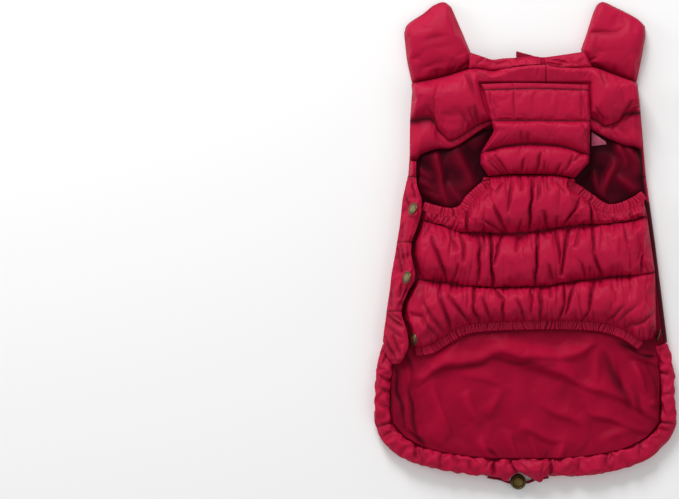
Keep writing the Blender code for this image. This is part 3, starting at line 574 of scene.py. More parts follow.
def close(skin, quilt, rim, inner=None, limit=None):
    """Give a filled skin its other side and make it a closed pad.

    rim rolls the edge in, as (how far in, height) steps, and the last step is filled flat.
    inner(x, y) gives the other side's height instead where it isn't level. limit(x, y, z)
    keeps a point clear of the neighbours.
    """
    press_folds(skin, quilt)
    bm = bmesh.new()
    bm.from_mesh(skin.data)
    bmesh.ops.scale(bm, vec=(1 / MM,) * 3, verts=bm.verts)
    if limit:
        for v in bm.verts:
            v.co.z = limit(*v.co)
    inward = bm.verts.layers.float_vector.new("inward")
    for e in open_edges(bm):
        a, b = e.verts
        side = Vector((b.co.y - a.co.y, a.co.x - b.co.x, 0.0)).normalized()
        if side.dot(e.link_faces[0].calc_center_median() - a.co) < 0:
            side.negate()
        a[inward] = Vector(a[inward]) + side
        b[inward] = Vector(b[inward]) + side
    if inner:
        for v in extrude_all(bm):
            way = Vector(v[inward])
            v.co += way.normalized() * rim[0][0] if way.length > 0.1 else Vector()
            v.co.z = inner(v.co.x, v.co.y)
    else:
        gone = 0.0
        for inset, z in rim:
            for v in new_verts(bmesh.ops.extrude_edge_only(bm, edges=open_edges(bm))):
                v.co += Vector(v[inward]).normalized() * (inset - gone)
                v.co.z = z
            gone = inset
        bmesh.ops.holes_fill(bm, edges=open_edges(bm), sides=0)
    bmesh.ops.recalc_face_normals(bm, faces=bm.faces)
    bmesh.ops.scale(bm, vec=(MM,) * 3, verts=bm.verts)
    bm.verts.layers.float_vector.remove(bm.verts.layers.float_vector["inward"])
    bm.to_mesh(skin.data)
    bm.free()
    skin.data.shade_smooth()


def quilted(name, quilt, pitch, filling, rim, inner=None, limit=None, hold=None):
    """Lay a piece, fill it by (ease, pressure, greatest move) and close it."""
    piece = lay_skin(name, quilt, pitch, hold)
    fill(piece, *filling)
    close(piece, quilt, rim, inner, limit)
    return piece


def shaded(piece):
    """Each vertex of a piece, its place in millimetres and its painted shade."""
    for v, shade in zip(piece.data.vertices, piece.data.attributes[PAINTED_SHADE_AND_DARK_FINISH].data):
        yield v, v.co / MM, shade


def wear(piece, *nodes, material=taffeta, slot="crimson_taffeta", soft=None):
    """Finish a piece, let it ride on the jacket and stand for its solids."""
    piece.data.materials.clear()
    piece.data.materials.append(material)
    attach(piece, "root")
    if nodes:
        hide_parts(*nodes)
    print(piece.name, len(piece.data.polygons), "faces")



# %% [markdown]
# ## The belly
#
# The belly panel has a dome over the chest and two gathered channels. Its edges are drawn in
# by elastic, so it is the most puckered piece. The long creases are placed where the
# photograph shows them, and short uneven pleats run off every seam between them.

# %% Belly panel
BACK_TOP = 11.0           # inner side of the padded back
LINING_BASE = 11.3
BELLY_BASE = 12.6
SEAM_Z = BELLY_BASE + 3.2     # the cloth at a seam that is sewn through

LEFT_ARMHOLE = ((-92.8, 30.4), (-83.7, 27.6), (-72, 24.9), (-63, 25), (-56.3, 28.6), (-51, 36.5),
                (-42, 45), (-35, 51.2))
RIGHT_ARMHOLE = ((40.6, 49.6), (46.6, 45.4), (57.2, 37.8), (69.3, 29.6), (76.5, 27.9),
                 (86.4, 29.7), (97.7, 34.7), (106.4, 40.6))
BELLY_HEM = ((-99.5, -100.6), (-84.6, -97.7), (-72, -90), (-56.7, -81.5), (-36.9, -78.1),
             (1.8, -76.5), (44.1, -76.5), (69.3, -78.8), (87.3, -84.6), (103.5, -95.4))
left_arm, right_arm, hem_arc = map(smooth_line, (LEFT_ARMHOLE, RIGHT_ARMHOLE, BELLY_HEM))
BELLY_TOP = ([(-102.2, 26)] + beside(left_arm, (0.04, 0.2, 0.4, 0.55, 0.7, 0.9), 3.0)
             + [(-33, 50), (-32, 56.8), (3, 58.4), (37, 56.4), (38.2, 48)]
             + beside(right_arm, (0.1, 0.3, 0.45, 0.6, 0.8, 0.96), 3.0))
BELLY_LOW = ([(-113.4, -92)]
             + beside(hem_arc, (0.02, 0.12, 0.22, 0.35, 0.5, 0.65, 0.76, 0.84, 0.91, 0.98), -3.2)
             + [(117.5, -88)])
UPPER_SEAM = ((-102.4, 20), (-78, 14), (-58.5, 8.6), (-23.4, 5.6), (3.6, 7.2), (27, 10.4),
              (56.3, 14.4), (85.5, 16.3), (109, 21))
LOWER_SEAM = ((-110.6, -34), (-80, -37.3), (-50.7, -41.1), (-15.7, -42.1), (17.5, -41.1),
              (46.6, -37.3), (75.9, -33.3), (105, -30.4), (116, -28.6))

# each crease: from, to, depth, width, and a second width where its two sides differ
BELLY_CREASES = creases(
    # dome
    (-12.5, 55, -17, 27, 3.4, 1.2), (5, 56, 2, 10, 5.6, 1.5), (11.5, 55, 10.5, 36, 4, 1.2),
    (-20.5, 54, -27, 43, 3.4, 1.1), (26.5, 54, 34, 42, 3.2, 1.1), (-38, 20, -20, 6.5, 3.8, 1.2),
    (-28, 32, -18, 6.5, 4.4, 1.3), (-6, 19, -8, 7, 3.6, 1.1), (15, 26, 19.5, 9, 4.2, 1.2),
    (47, 37, 33, 13, 4, 1.2), (56.5, 37, 58.5, 13, 5.6, 1.4), (-54.5, 33, -53, 9, 5.6, 1.4),
    (-33, 46, -39, 36, 2.4, 1.1), (18, 54, 20, 44, 2.4, 1), (-4, 55, -4.5, 44, 2.8, 1),
    (26, 22, 27, 11, 3, 1),
    # second channel
    (-84.5, 3, -71, -38, 4.6, 1.4), (-58, 7, -56, -18, 4, 1.2), (-43, 4, -43.5, -34, 4.6, 1.3),
    (-32, 6, -30, -41, 6, 1.5), (-22, 5, -28, -20, 4, 1.2), (10, 7, 7.5, -40, 5.6, 1.4),
    (26, 8, 31, -19, 4, 1.2), (38, 10, 31.5, -29, 5.2, 1.4), (59.5, 13, 60, -12, 4.6, 1.3),
    (60, -12, 67, -32, 4.6, 1.3), (106, -14, 102.5, -30, 3.4, 1.2), (-98, -17, -94, -34, 3, 1.3),
    (-68, 8, -63, -8, 3, 1.1), (47, 12, 45, -6, 3, 1.1), (-7, 5, -9, -9, 3, 1.1),
    (87, 15, 90, -2, 2.6, 1.2), (20, -22, 24, -40, 3, 1.1), (-62, -20, -66, -38, 3, 1.1),
    (50, -20, 53, -36, 3, 1.1),
    # third channel
    (-76, -37, -79, -50, 4.2, 1.2), (-79, -50, -66, -84, 4.8, 1.3),
    (-70, -52, -48.5, -78, 4.8, 1.3), (-48, -41, -48, -60, 4.6, 1.2),
    (-48, -60, -42, -77, 4.6, 1.2), (-39, -54, -32, -76, 3.8, 1.1),
    (-30, -42, -21.5, -54, 4.6, 1.2), (-21.5, -54, -20.5, -75, 4.4, 1.2),
    (-9, -54, -2, -73, 4, 1.2), (4, -42, 5.5, -55, 3.8, 1.1), (13.5, -42, 13, -74, 5, 1.3),
    (34, -40, 33.5, -58, 4.8, 1.2), (33.5, -58, 28, -74, 4.2, 1.2),
    (44.5, -38, 35.5, -66, 4.6, 1.2), (61, -36, 56, -64, 4.8, 1.3), (56, -64, 48, -75, 4.2, 1.2),
    (87, -59, 70, -77, 3.4, 1.4), (117, -64, 86, -82, 3.4, 1.6), (-97, -68, -79, -88, 3.6, 1.5),
    (-93, -57, -73, -84, 3.6, 1.4), (-88, -66, -72, -86, 2.8, 1.2), (21, -40, 22, -52, 3, 1),
    (98, -58, 82, -74, 2.4, 1.3))

Side = namedtuple("Side", "y left wrap")
# the jacket's left edge, and the inner edge of its side wrap
SIDES = (
    Side(72, -104.9, -98.8), Side(61, -105.4, -99.2), Side(50, -108.2, -98.6),
    Side(36, -111.3, -94), Side(25, -112.3, -94.2), Side(12, -113.8, -98),
    Side(-2, -115.4, -103.2), Side(-14, -118, -103.6), Side(-30, -121, -99.6),
    Side(-37, -121.8, -100.4), Side(-46, -122.8, -106.5), Side(-58, -124.1, -111.5),
    Side(-68, -125.5, -112), Side(-80, -127.6, -107.5), Side(-93, -128.4, -105.5),
    Side(-99, -127.2, -107), Side(-106, -124.6, -110.5), Side(-113, -119.4, -115))


def side_value(y, column):
    """A column of the side's table read at y."""
    for upper, lower in zip(SIDES, SIDES[1:]):
        if y >= lower.y:
            f = min((y - lower.y) / (upper.y - lower.y), 1.0)
            return getattr(lower, column) + f * (getattr(upper, column) - getattr(lower, column))
    return getattr(SIDES[-1], column)


def below_the_wrap(x, y, z):
    """Keep the belly's left edge low under the side wrap, then let it rise steeply."""
    free = unit((x - side_value(y, "wrap") - 3.0) / 8.0)
    return max(min(z, 15.4 + 20.0 * free ** 0.7), BELLY_BASE + 0.6)


Snap = namedtuple("Snap", "name centre axis")


def snap_seats():
    """Where the frame's snaps sit, and the way that they face."""
    seats = []
    for name in ("snap_1", "snap_2", "snap_3", "snap_4"):
        points = np.array([v.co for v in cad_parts[name].data.vertices]) / MM
        centre = (points.min(axis=0) + points.max(axis=0)) / 2
        axis = Vector(np.linalg.svd(points - points.mean(axis=0), full_matrices=False)[2][2])
        faces_out = axis.x if name == "snap_4" else axis.z
        seats.append(Snap(name, Vector(centre), axis if faces_out > 0 else -axis))
    return seats


SNAPS = snap_seats()
SNAP_RADIUS, SNAP_HALF = 5.6, 0.8


def round_the_snaps(x, y, z):
    """Cloth that a snap clamps: held just below the snap's back."""
    for snap in SNAPS[:3]:
        off = Vector((x - snap.centre.x, y - snap.centre.y, 0.0))
        reach = SNAP_RADIUS + 0.6
        if abs(off.y) < reach and abs(off.x) < reach * snap.axis.z + 0.8:
            flat = -(off.x * snap.axis.x + off.y * snap.axis.y) / snap.axis.z
            back_z = snap.centre.z + flat - SNAP_HALF / snap.axis.z - 0.35
            if abs(z - back_z) < 9.0:
                return back_z
    return None


belly_quilt = Quilt((
    Seam(BELLY_LOW, SEAM_Z + 0.4, 12.0, gather=(Gather(2.9, 3.8, 5.0, 0.9),
                                                Gather(9.0, 4.4, 13.0))),
    Seam(LOWER_SEAM, SEAM_Z, 12.5, gather=(Gather(4.6, 4.2, 4.5), Gather(13.0, 4.4, 12.0))),
    Seam(UPPER_SEAM, SEAM_Z, 14.0, gather=(Gather(4.6, 4.2, 4.5), Gather(14.0, 4.2, 11.0))),
    Seam(BELLY_TOP, SEAM_Z + 0.6, 0.0, gather=(Gather(2.9, 4.2, 11.0, 0.9),))),
    BELLY_BASE + 3.0, (10.0, 7.0), creases=BELLY_CREASES, crumple=0.8)
belly = quilted("belly", belly_quilt, 1.8, (0.12, 15.0, 6.0), ((0.6, 0.0),),
                lambda x, y: BELLY_BASE, below_the_wrap, round_the_snaps)
for v, (x, y, z), shade in shaded(belly):
    if y < 60.0:          # the wrap's shadow on the belly
        beside_wrap = (x - side_value(y, "wrap")) / 6.5
        shade.value = max(shade.value, min(1.0, 1.15 * (1.0 - beside_wrap)))
wear(belly, "belly_panel", soft=0.7)

# %% [markdown]
# ## The side wrap
#
# The left edge of the back comes round the side and folds over the belly, where it snaps
# shut. It is quilted as the back is, so it has the same channels, and a snap pulls a dimple.
# Its inner edge stands proud of the belly and throws a shadow on it.

# %% Side wrap
WRAP_BASE = 18.3
WRAP_ON_HEM = 16.2        # its lower end lies on the start of the drawcord hem
WRAP_LIP = 4.0            # how far in from the inner edge the wrap is highest
WRAP_CUTS = (-112.0, -63.9, -1.8, 57.0, 71.0)
WRAP_ROWS = (26, 34, 32, 8)
WRAP_COLUMNS = 18
WALL, FOOT = 8.0, 0.4     # width of the part that stands on the back, and its share of columns
WRAP_CREASES = creases(
    (-103.5, 56, -100, 36, 2.6, 1, 1.6), (-108, 42, -104, 26, 2.8, 1, 1.8),
    (-110, 12, -112.5, -2, 1.8, 1.2, 2.4), (-112.5, -4, -109, -22, 3.2, 1, 1.8),
    (-116, -6, -111.5, -28, 3, 1, 2), (-107.6, -3, -106.2, -18, 2, 0.9, 1.5),
    (-111, -36, -113.5, -52, 3.2, 1, 2), (-107, -42, -113, -58, 2.6, 1, 1.6),
    (-119, -40, -120.5, -60, 2.2, 1.1, 2.2), (-124, -67, -112, -78, 3.4, 1.2, 2),
    (-122, -66, -111, -72, 2.6, 1, 1.8), (-125, -76, -112, -88, 2.6, 1.2, 2.2),
    (-125, -88, -116, -109, 3.4, 1, 2), (-119, -82, -113, -104, 2.6, 1, 1.8))


def wrap_edges(y):
    """The wrap's outer and inner edge at y, and the width of its wall."""
    left, inner = side_value(y, "left"), side_value(y, "wrap")
    return left, inner, min(WALL, 0.55 * (inner - left))


class WrapQuilt(Quilt):
    """The wrap stands up from the back's edge, rolls over and lies on the belly."""

    def steps(self, pitch):
        rows = [i + k / n for i, n in enumerate(WRAP_ROWS) for k in range(n)]
        return [i / WRAP_COLUMNS for i in range(WRAP_COLUMNS + 1)], rows + [4.0]

    def place(self, s, t):
        i = min(int(t), len(WRAP_CUTS) - 2)
        y = WRAP_CUTS[i] + (t - i) * (WRAP_CUTS[i + 1] - WRAP_CUTS[i])
        left, inner, wall = wrap_edges(y)
        lip = max(s - FOOT, 0.0) / (1 - FOOT) * (inner - left - wall)
        return Vector((left + min(s / FOOT, 1.0) * wall + lip, y))

    def spot(self, s, t):
        i = min(int(t), len(WRAP_CUTS) - 2)
        f = t - i
        x, y = self.place(s, t)
        left, inner, _ = wrap_edges(y)
        climb = min((x - left) / max(inner - left - WRAP_LIP, 1.0), 1.0)
        fall = max(x - (inner - WRAP_LIP), 0.0) / WRAP_LIP
        roll = 0.25 * sin(pi / 2 * climb) + 0.75 * climb - 0.2 * fall ** 2
        full = min((inner - left) / 14.0, 1.0)
        span = WRAP_CUTS[i + 1] - WRAP_CUTS[i]
        near = min(f, 1 - f) * span
        inset = min(s, 1 - s) * 26.0
        dip = 4.6 * (1 - swell(f))
        relief = self.relief(x, y, s, inset, (i, f * span), (i + 1, (1 - f) * span))
        z = BACK_TOP + 4.5 + (13.0 * (0.45 + 0.55 * full) - dip) * roll - 0.5 * relief
        # painted shade: darker near the wrap's seams and in its folds
        dark = max(0.8 * max(1 - near / 1.8, 0.0) ** 2, 0.2 * relief)
        return Spot(x, y, z, relief, min(dark, 1.0), min(near, inset) < HELD_REACH)


def under_wrap(x, y):
    left, _, wall = wrap_edges(y)
    if y < -92.0:
        return WRAP_ON_HEM
    return WRAP_BASE if x > left + wall + 0.05 else LINING_BASE


def beside_the_snaps(x, y, z):
    return max(z, under_wrap(x, y) + 0.8) if x > side_value(y, "left") + 1.0 else z


wrap_lines = [((side_value(y, "left"), y), (side_value(y, "wrap"), y)) for y in WRAP_CUTS]
wrap_quilt = WrapQuilt([Seam(line, 0.0, 0.0, gather=(Gather(6.0, 1.6, 5.0),))
                        for line in wrap_lines], 0.0, creases=WRAP_CREASES)
wrap = quilted("side_wrap", wrap_quilt, 1.9, (0.06, 9.0, 3.0), ((0.9, 0.0),), under_wrap,
               beside_the_snaps, round_the_snaps)
wear(wrap, "back_side_wrap", soft=0.6)

# %% [markdown]
# ## Shoulder straps
#
# The straps run from the armholes to the neck seam and meet under the chest flap, where they
# are pressed flat. Each armhole edge is a narrow bound channel beside the strap's own puff.

# %% Shoulder straps
STRAP_CAP = 21.0          # the straps' height below the chest flap
FLAP_TOP_Y = 141.4
Strap = namedtuple("Strap", "armhole middle neck flap_edge towards creases")
STRAPS = {
    "shoulder_left": Strap(
        ((-104.8, 71.9), (-99, 71.9), (-95.1, 76.4), (-86, 80.4), (-76.8, 82.4),
         (-68, 82.4), (-58, 87), (-38, 100.4), (-10, 112), (17, 119)),
        ((-104.4, 108.6), (-99.5, 109.2), (-92, 110.5), (-84.2, 109.4), (-79, 99.7),
         (-74.4, 94.6), (-68.8, 89.4), (-57.2, 94.5), (-40.6, 104.6), (-10, 116),
         (17, 123)),
        ((-102, 140.4), (-84, 143.8), (-69.5, 147.5), (-57, 151.8), (-47, 154),
         (-37, 153.2), (-29.7, 152), (-22.5, 153.4), (-9, 155.6), (4, 156.8),
         (17, 157.6)),
        ((99, 108, 119, 128, 140), (-30.5, -33, -37, -39.6, -42.4)), 1,
        ((-54, 148, -46, 129, 3, 1.4), (-46, 152, -34, 143, 2.2, 1.2),
         (-47.5, 120, -43, 104, 3.2, 1.3), (-88, 116, -82.5, 108, 2, 1.2),
         (-58, 112, -50, 99, 2, 1.6), (-52, 118, -46, 102, 2.4, 1.2),
         (-82, 96, -74, 86, 2.2, 1.4), (-90, 104, -84, 100, 1.8, 1.3))),
    "shoulder_right": Strap(
        ((17.6, 119), (39.6, 110.6), (58, 99.6), (70.7, 92.8), (81, 88.2),
         (89.1, 85), (97.1, 84.2), (104.6, 80.8)),
        ((17.6, 123), (40, 115.6), (58, 109.3), (66.1, 105.4), (69.6, 102.4),
         (74.7, 103.2), (79.3, 105.3), (83.9, 108), (88.5, 113.4), (95.4, 114.4),
         (102.9, 115.3)),
        ((17.6, 158.2), (23, 156.6), (32, 155), (44, 154.6), (60, 154.8),
         (74, 150.2), (88, 145.2), (100, 141)),
        ((99, 140), (58.6, 57.4)), -1,
        ((61, 121, 69, 105, 2.8, 1.3), (93, 124, 84.5, 111, 2.8, 1.3),
         (101, 121, 91, 113.5, 2.4, 1.2), (66, 150, 70, 140, 2, 1.4),
         (80, 103, 92, 95, 2, 1.5), (76, 98, 84, 92, 1.6, 1.2),
         (97, 118, 88, 104, 1.8, 1.2))),
}
# small folds between the neck seam and the flap
ABOVE_FLAP = creases(
    (12, 157, 10, 146, 1.8, 1), (7, 156.5, 6.5, 149, 1.4, 0.9), (1, 156, 3, 150, 1, 0.9),
    (-48, 150, -38, 144, 2, 1.3), (-44, 153, -30, 148, 1.6, 1.2), (-24, 152, -18, 146, 1.2, 1.1),
    (22, 156, 24, 147, 1.2, 1), (44, 153, 50, 145, 1.6, 1.2), (56, 152, 52, 146, 1.2, 1))


def up_to_the_tabs(point):
    """The neck seam's height: level with the tabs where they lie over it."""
    return SEAM_Z + 2.4 + 6.0 * unit((point.x + 25.0) / 20.0)


for name, strap in STRAPS.items():
    def under_flap(x, y, z, strap=strap):
        """Flat below the chest flap."""
        edge = float(np.interp(y, *strap.flap_edge))
        aside, above = max(strap.towards * (edge - x), 0.0), max(y - FLAP_TOP_Y, 0.0)
        off = sqrt(aside ** 2 + (0.4 * above) ** 2)
        cap = STRAP_CAP + 4.4 * min(max(aside, above), 1.0) + 1.5 * off ** 0.8
        if above > 0:
            cap += 1.2 * rough(x * 0.16, y * 0.05, 6.0)
            cap -= 0.8 * trough(ABOVE_FLAP, x, y)
        return max((z + cap - sqrt((z - cap) ** 2 + 1.6)) / 2, BELLY_BASE + 0.6)

    at_left = name == "shoulder_left"
    quilt = Quilt((Seam(strap.armhole, SEAM_Z, 6.0, gather=(Gather(5.0, 1.6, 4.0),)),
                   Seam(strap.middle, SEAM_Z + 1.2, 12.0,
                        gather=(Gather(4.6, 2.8, 4.0), Gather(17.0, 2.6, 9.0))),
                   Seam(strap.neck, up_to_the_tabs if at_left else SEAM_Z + 7.0, 0.0,
                        gather=(Gather(6.0, 1.6, 5.0),))),
                  BELLY_BASE + 3.4, (6.0, 0.0) if at_left else (0.0, 6.0),
                  creases=creases(*strap.creases), crumple=0.5)
    piece = quilted(name + "_strap", quilt, 1.9, (0.06, 10.0, 4.0),
                    ((0.3, 15.0), (0.8, 13.6), (2.0, BELLY_BASE)), limit=under_flap)
    wear(piece, name, soft=0.6)

# %% [markdown]
# ## The chest flap
#
# The flap closes the chest. Its top is a flat box, stitched all round where hook tape is sewn
# on behind, and two puffs hang below it down to the belly's dome.

# %% Chest flap
FLAP_BASE = 21.6
# rows of stitches, each pulled into a shallow groove
BOX_STITCHES = (((-32.4, 134.6), (10, 135.6), (49.6, 134)), ((-12, 139.8), (-10.6, 108.4)),
                ((49.6, 139.6), (49.4, 107)), ((-28, 107.4), (10, 107.2), (55.5, 106.8)),
                ((-33.6, 134.2), (-30.8, 119), (-26.8, 108.4)), ((49.8, 106), (54.4, 86)),
                ((-36, 83.6), (-30, 92.6), (-26.6, 99)))
BOX_GROOVES = [crease(*a, *b, 1.1, 1.0)
               for row in BOX_STITCHES for a, b in zip(row, row[1:])]
FLAP_CREASES = creases(
    (-28.4, 75.6, -16.3, 59.4, 3.2, 1.2), (-34, 69.9, -21.2, 57.6, 3, 1.1),
    (-31.5, 72.9, -18.9, 58.5, 2.6, 1), (-1.9, 72.4, -5, 60.6, 3, 1.1),
    (13.4, 77.9, 7.7, 60.2, 3.6, 1.2), (30.2, 66.9, 25.5, 58, 3, 1.1),
    (-5, 95.6, -4.6, 87.6, 2.4, 1.1), (1.4, 95, 0.8, 87.4, 2.6, 1.1), (42, 76, 36, 62, 2.4, 1.2),
    (50, 78, 42, 70, 2.4, 1.2), (-34, 82, -26, 80, 2, 1.2), (-36.5, 78, -29, 66, 2.2, 1.1),
    (-30, 127, -26, 118, 1.4, 1), (51, 128, 53.5, 112, 1.4, 1), (50.5, 100, 56, 96, 1.8, 0.9),
    (51.5, 94, 56.5, 90, 1.8, 0.9), (52, 88, 57, 85, 1.8, 0.9), (16, 70, 15, 60, 2.2, 1))


def flap_inside(x, y):
    """The flap's other side: on the lining below, then up over the straps."""
    return BELLY_BASE + unit((y - 84.0) / 15.0) * (FLAP_BASE - BELLY_BASE)


def over_the_straps(x, y, z):
    return max(z, flap_inside(x, y) + 1.2)


class FlapQuilt(Quilt):
    """The flap's side edges follow its slope up over the straps."""

    def spot(self, s, t):
        self.edge_z = flap_inside(*self.place(s, t)) + 3.6
        return super().spot(s, t)


flap_quilt = FlapQuilt((
    Seam(((-33.6, 57.2), (-14, 59), (4.2, 59), (22, 58.6), (44, 56)), 16.6, 10.0,
         gather=(Gather(3.8, 3.4, 4.5), Gather(12.0, 3.4, 8.0))),
    Seam(((-41, 68), (3, 73), (56.4, 69.5)), 20.0, 8.0, False),
    Seam(((-40.8, 78), (-30.8, 81.4), (-18.7, 84.3), (1.4, 86.2), (17.5, 85.8), (33.5, 83.6),
          (48, 78.8), (57.4, 76)), 20.4, 9.5, gather=(Gather(4.2, 2.4, 3.5),)),
    Seam(((-29.2, 97.5), (10, 97), (57, 96.5)), 24.0, 9.0, False),
    Seam(((-31.4, 107.2), (10, 107), (57.2, 106.6)), 26.2, 2.6,
         gather=(Gather(4.0, 0.8, 2.5),)),
    Seam(((-36.4, 124), (10, 124), (56.6, 124)), 26.2, 2.6, False),
    Seam(((-38.6, 134.6), (10, 135.8), (55.8, 134.4)), 26.0, 1.6),
    Seam(((-41, 140), (-14, 141), (10, 140.9), (55.6, 139.4)), 25.4, 0.0)),
    20.0, 4.5, creases=BOX_GROOVES + FLAP_CREASES, crumple=0.25)
flap = quilted("chest_flap_pad", flap_quilt, 1.6, (0.02, 8.0, 3.0), ((0.8, 0.0),),
               flap_inside, over_the_straps)
wear(flap, "chest_flap", soft=0.6)

# %% [markdown]
# ## The collar
#
# Two wings stand out at the neck, joined by a fold behind the tabs, and the collar's fall
# lies on the back. They hold little down, so they are smooth, with a few soft drags.

# %% Collar wings
Wing = namedtuple("Wing", "lines creases")
WINGS = {
    "collar_left": Wing((
        ((-101.9, 141.8), (-84, 145), (-69.5, 148.7), (-55, 153.3), (-48.6, 156)),
        ((-106.4, 162), (-78, 166.5), (-49.5, 168)),
        ((-108.6, 181.6), (-84, 188.5), (-57, 186)),
        ((-109, 186.4), (-106.4, 194), (-91, 204.6), (-83.4, 211), (-73.7, 214.4),
         (-67.4, 210.2))),
        ((-91, 180, -74, 184, 1.4, 1.8, 5), (-88, 172, -66, 176, 0.9, 4),
         (-98, 152, -74, 160, 1, 5), (-62, 153, -54, 158, 1.8, 1.1),
         (-70, 150, -63, 156, 1.6, 1.1))),
    "collar_right": Wing((
        ((59, 156.9), (74, 151.7), (88, 146.5), (100, 142.3)),
        ((50.4, 171), (78, 168.5), (105, 167.2)),
        ((56, 187), (84, 186.5), (108, 184)),
        ((61.7, 205.2), (65.6, 212.6), (70.2, 214.6), (79.2, 210.6), (92.7, 204),
         (102.3, 198.2), (107.6, 192.6))),
        ((57, 186.5, 82, 188, 1.6, 1.6, 5), (62, 168, 92, 172, 0.8, 5),
         (62, 158, 72, 154, 1.6, 1.2), (56, 161, 64, 164, 1.4, 1.1))),
}
WING_SEAMS = (            # height, rise, sewn, pleats
    (6.0, 10.0, True, (Gather(6.0, 1.8, 5.0),)), (6.0, 10.0, False), (6.0, 10.0, False),
    (5.0, 0.0))
for name, wing in WINGS.items():
    quilt = Quilt([Seam(line, *seam) for line, seam in zip(wing.lines, WING_SEAMS)], 5.0, 9.0,
                  creases=creases(*wing.creases), crumple=0.3)
    piece = quilted(name + "_wing", quilt, 2.2, (0.03, 8.0, 3.0),
                    ((-0.5, 3.6), (0.1, 1.4), (2.0, 0.0)), limit=lambda x, y, z: min(z, 18.5))
    wear(piece, name, soft=0.6)

# %% Collar fold and fall
FOLD_LINE = ((-42.5, 160.2), (-20, 159.8), (5, 160.2), (30, 161), (47, 163))
fold_low, fold_high = [beside(smooth_line(FOLD_LINE), (0.0, 0.25, 0.5, 0.75, 1.0), distance)
                       for distance in (3.0, -3.0)]
fold_quilt = Quilt((Seam(fold_low, 4.0, 7.6), Seam(fold_high, 4.0, 0.0)), 4.0, 3.0, crumple=0.2)
fold = quilted("collar_fold_pad", fold_quilt, 1.6, (0.04, 4.0, 0.6), ((0.3, 1.5), (0.8, 0.0)),
               limit=lambda x, y, z: min(z, 12.2))
wear(fold, "collar_fold", soft=0.4)

NECK_SEAM = ((-102.4, 141), (-84, 144.3), (-69.5, 148), (-55, 152.6), (-44, 155.6), (-14, 155.4),
             (17, 155.4), (44, 155.8), (60, 155.6), (74, 151), (88, 145.8), (100.4, 141.5))
FALL_EDGE = ((-100, 136), (-84, 132.6), (-62, 127.4), (-38, 124.6), (4, 123), (42, 123.4),
             (62, 127), (84, 132.4), (99, 136.6))
fall_quilt = Quilt(
    (Seam(FALL_EDGE, 2.4, 3.4, gather=(Gather(5.0, 0.6, 5.0),)),
     Seam([(x * 0.985, y - 0.2) for x, y in NECK_SEAM], 2.4, 0.0,
          gather=(Gather(4.0, 0.8, 5.0),))),
    2.6, 8.0, out=-1, crumple=0.3)
fall = quilted("collar_fall_pad", fall_quilt, 2.2, (0.06, 6.0, 2.0), ((0.3, 4.4), (1.2, 6.1)),
               limit=lambda x, y, z: max(z, 0.0))
wear(fall, "collar_fall", soft=0.4)

# %% [markdown]
# The two neck tabs close the collar in front, the left one over the right. They hold hardly
# any down, so they are low and creased where the fold below pushes them up.

# %% Neck tabs
Tab = namedtuple("Tab", "low high inner creases")
TABS = {
    "neck_tab_left": Tab(
        ((-51.6, 153.4), (-47, 154.4), (-37, 153.6), (-29.7, 152.4), (-22.5, 153.8),
         (-9, 156), (4, 157.2), (14, 157.8)),
        ((-50.4, 168.8), (-37, 164.3), (-30, 162.2), (-20.7, 163.4), (-5, 164.2),
         (3.6, 165.4), (12, 164.6)),
        lambda x, y: BELLY_BASE + (5.4 if x > -11.5 else 0),
        ((-40, 161, -22, 159, 1.6, 1.1), (-34, 157, -16, 160, 1.2, 1),
         (-44, 159, -36, 164, 1.4, 1))),
    "neck_tab_right": Tab(
        ((-9, 159), (12.5, 159.4), (18, 158.6), (23, 157), (32, 155.4), (44, 155),
         (59.6, 155.4)),
        ((-9, 170), (2, 167), (13, 164.4), (30, 166.2), (53, 169.6)),
        lambda x, y: BELLY_BASE,
        ((20, 162.5, 38, 159, 2, 1.1), (17, 159, 32, 157, 1.8, 1),
         (44, 158, 52, 162, 1.6, 1), (40, 161, 46, 157.6, 1.4, 0.9),
         (47, 157.6, 53, 160, 1.4, 0.9))),
}
for name, tab in TABS.items():
    lies = tab.inner
    crosses = name == "neck_tab_left"

    def tab_limit(x, y, z):
        """The right tab stays low where the left one lies on it."""
        if crosses:
            return max(z, lies(x - 1.0, y) + 2.4)
        return min(z, BELLY_BASE + 4.4 + 9.0 * unit((x - 16.0) / 4.0))

    def tab_seam(point):
        """Level with the strap's neck seam."""
        return up_to_the_tabs(point) - 0.2 if crosses else SEAM_Z + 4.6

    quilt = Quilt((Seam(tab.low, tab_seam, 3.6, gather=(Gather(4.0, 1.4, 3.0),)),
                   Seam(tab.high, BELLY_BASE + 4.0, 0.0)),
                  BELLY_BASE + (5.0 if crosses else 3.6), 2.5,
                  creases=creases(*tab.creases), crumple=0.4)
    piece = quilted(name + "_pad", quilt, 1.4, (0.05, 6.0, 1.6), ((0.5, 0.0),), lies, tab_limit)
    if not crosses:       # its inner corner lies in the shade, behind the left tab
        for v, (x, y, z), shade in shaded(piece):
            shade.value = max(shade.value, 0.5 * unit((14.0 - x) / 4.0))
    wear(piece, name, soft=0.4)

# %% [markdown]
# ## The back
#
# The jacket lies on its quilted back. Its seven channels are flat where they rest on the
# floor and round off into the seams, which stay clear of it.

# %% Back panel
HEM_CENTRE_Y, HEM_HALF_WIDTH, HEM_DEPTH, HEM_POWER = -150.0, 135.7, 64.0, 2.6
HEM_SIDE, HEM_BAND, HEM_HEIGHT = 13.4, 17.2, 16.0
RIGHT_EDGE = ((142, 100.7), (126, 102.7), (110, 102.9), (103.5, 103.4), (84, 104.8), (57, 107.9),
              (36, 111.2), (0, 115.8), (-25, 119.6), (-64, 123.8), (-93, 127.4))
LEFT_EDGE = ((142, -103), (126, -101.3), (110, -99.6), (103.5, -103.8), (84, -105.4), (57, -105.4),
             (36, -111.3), (0, -115), (-25, -120.5), (-64, -124.8), (-93, -128.6))


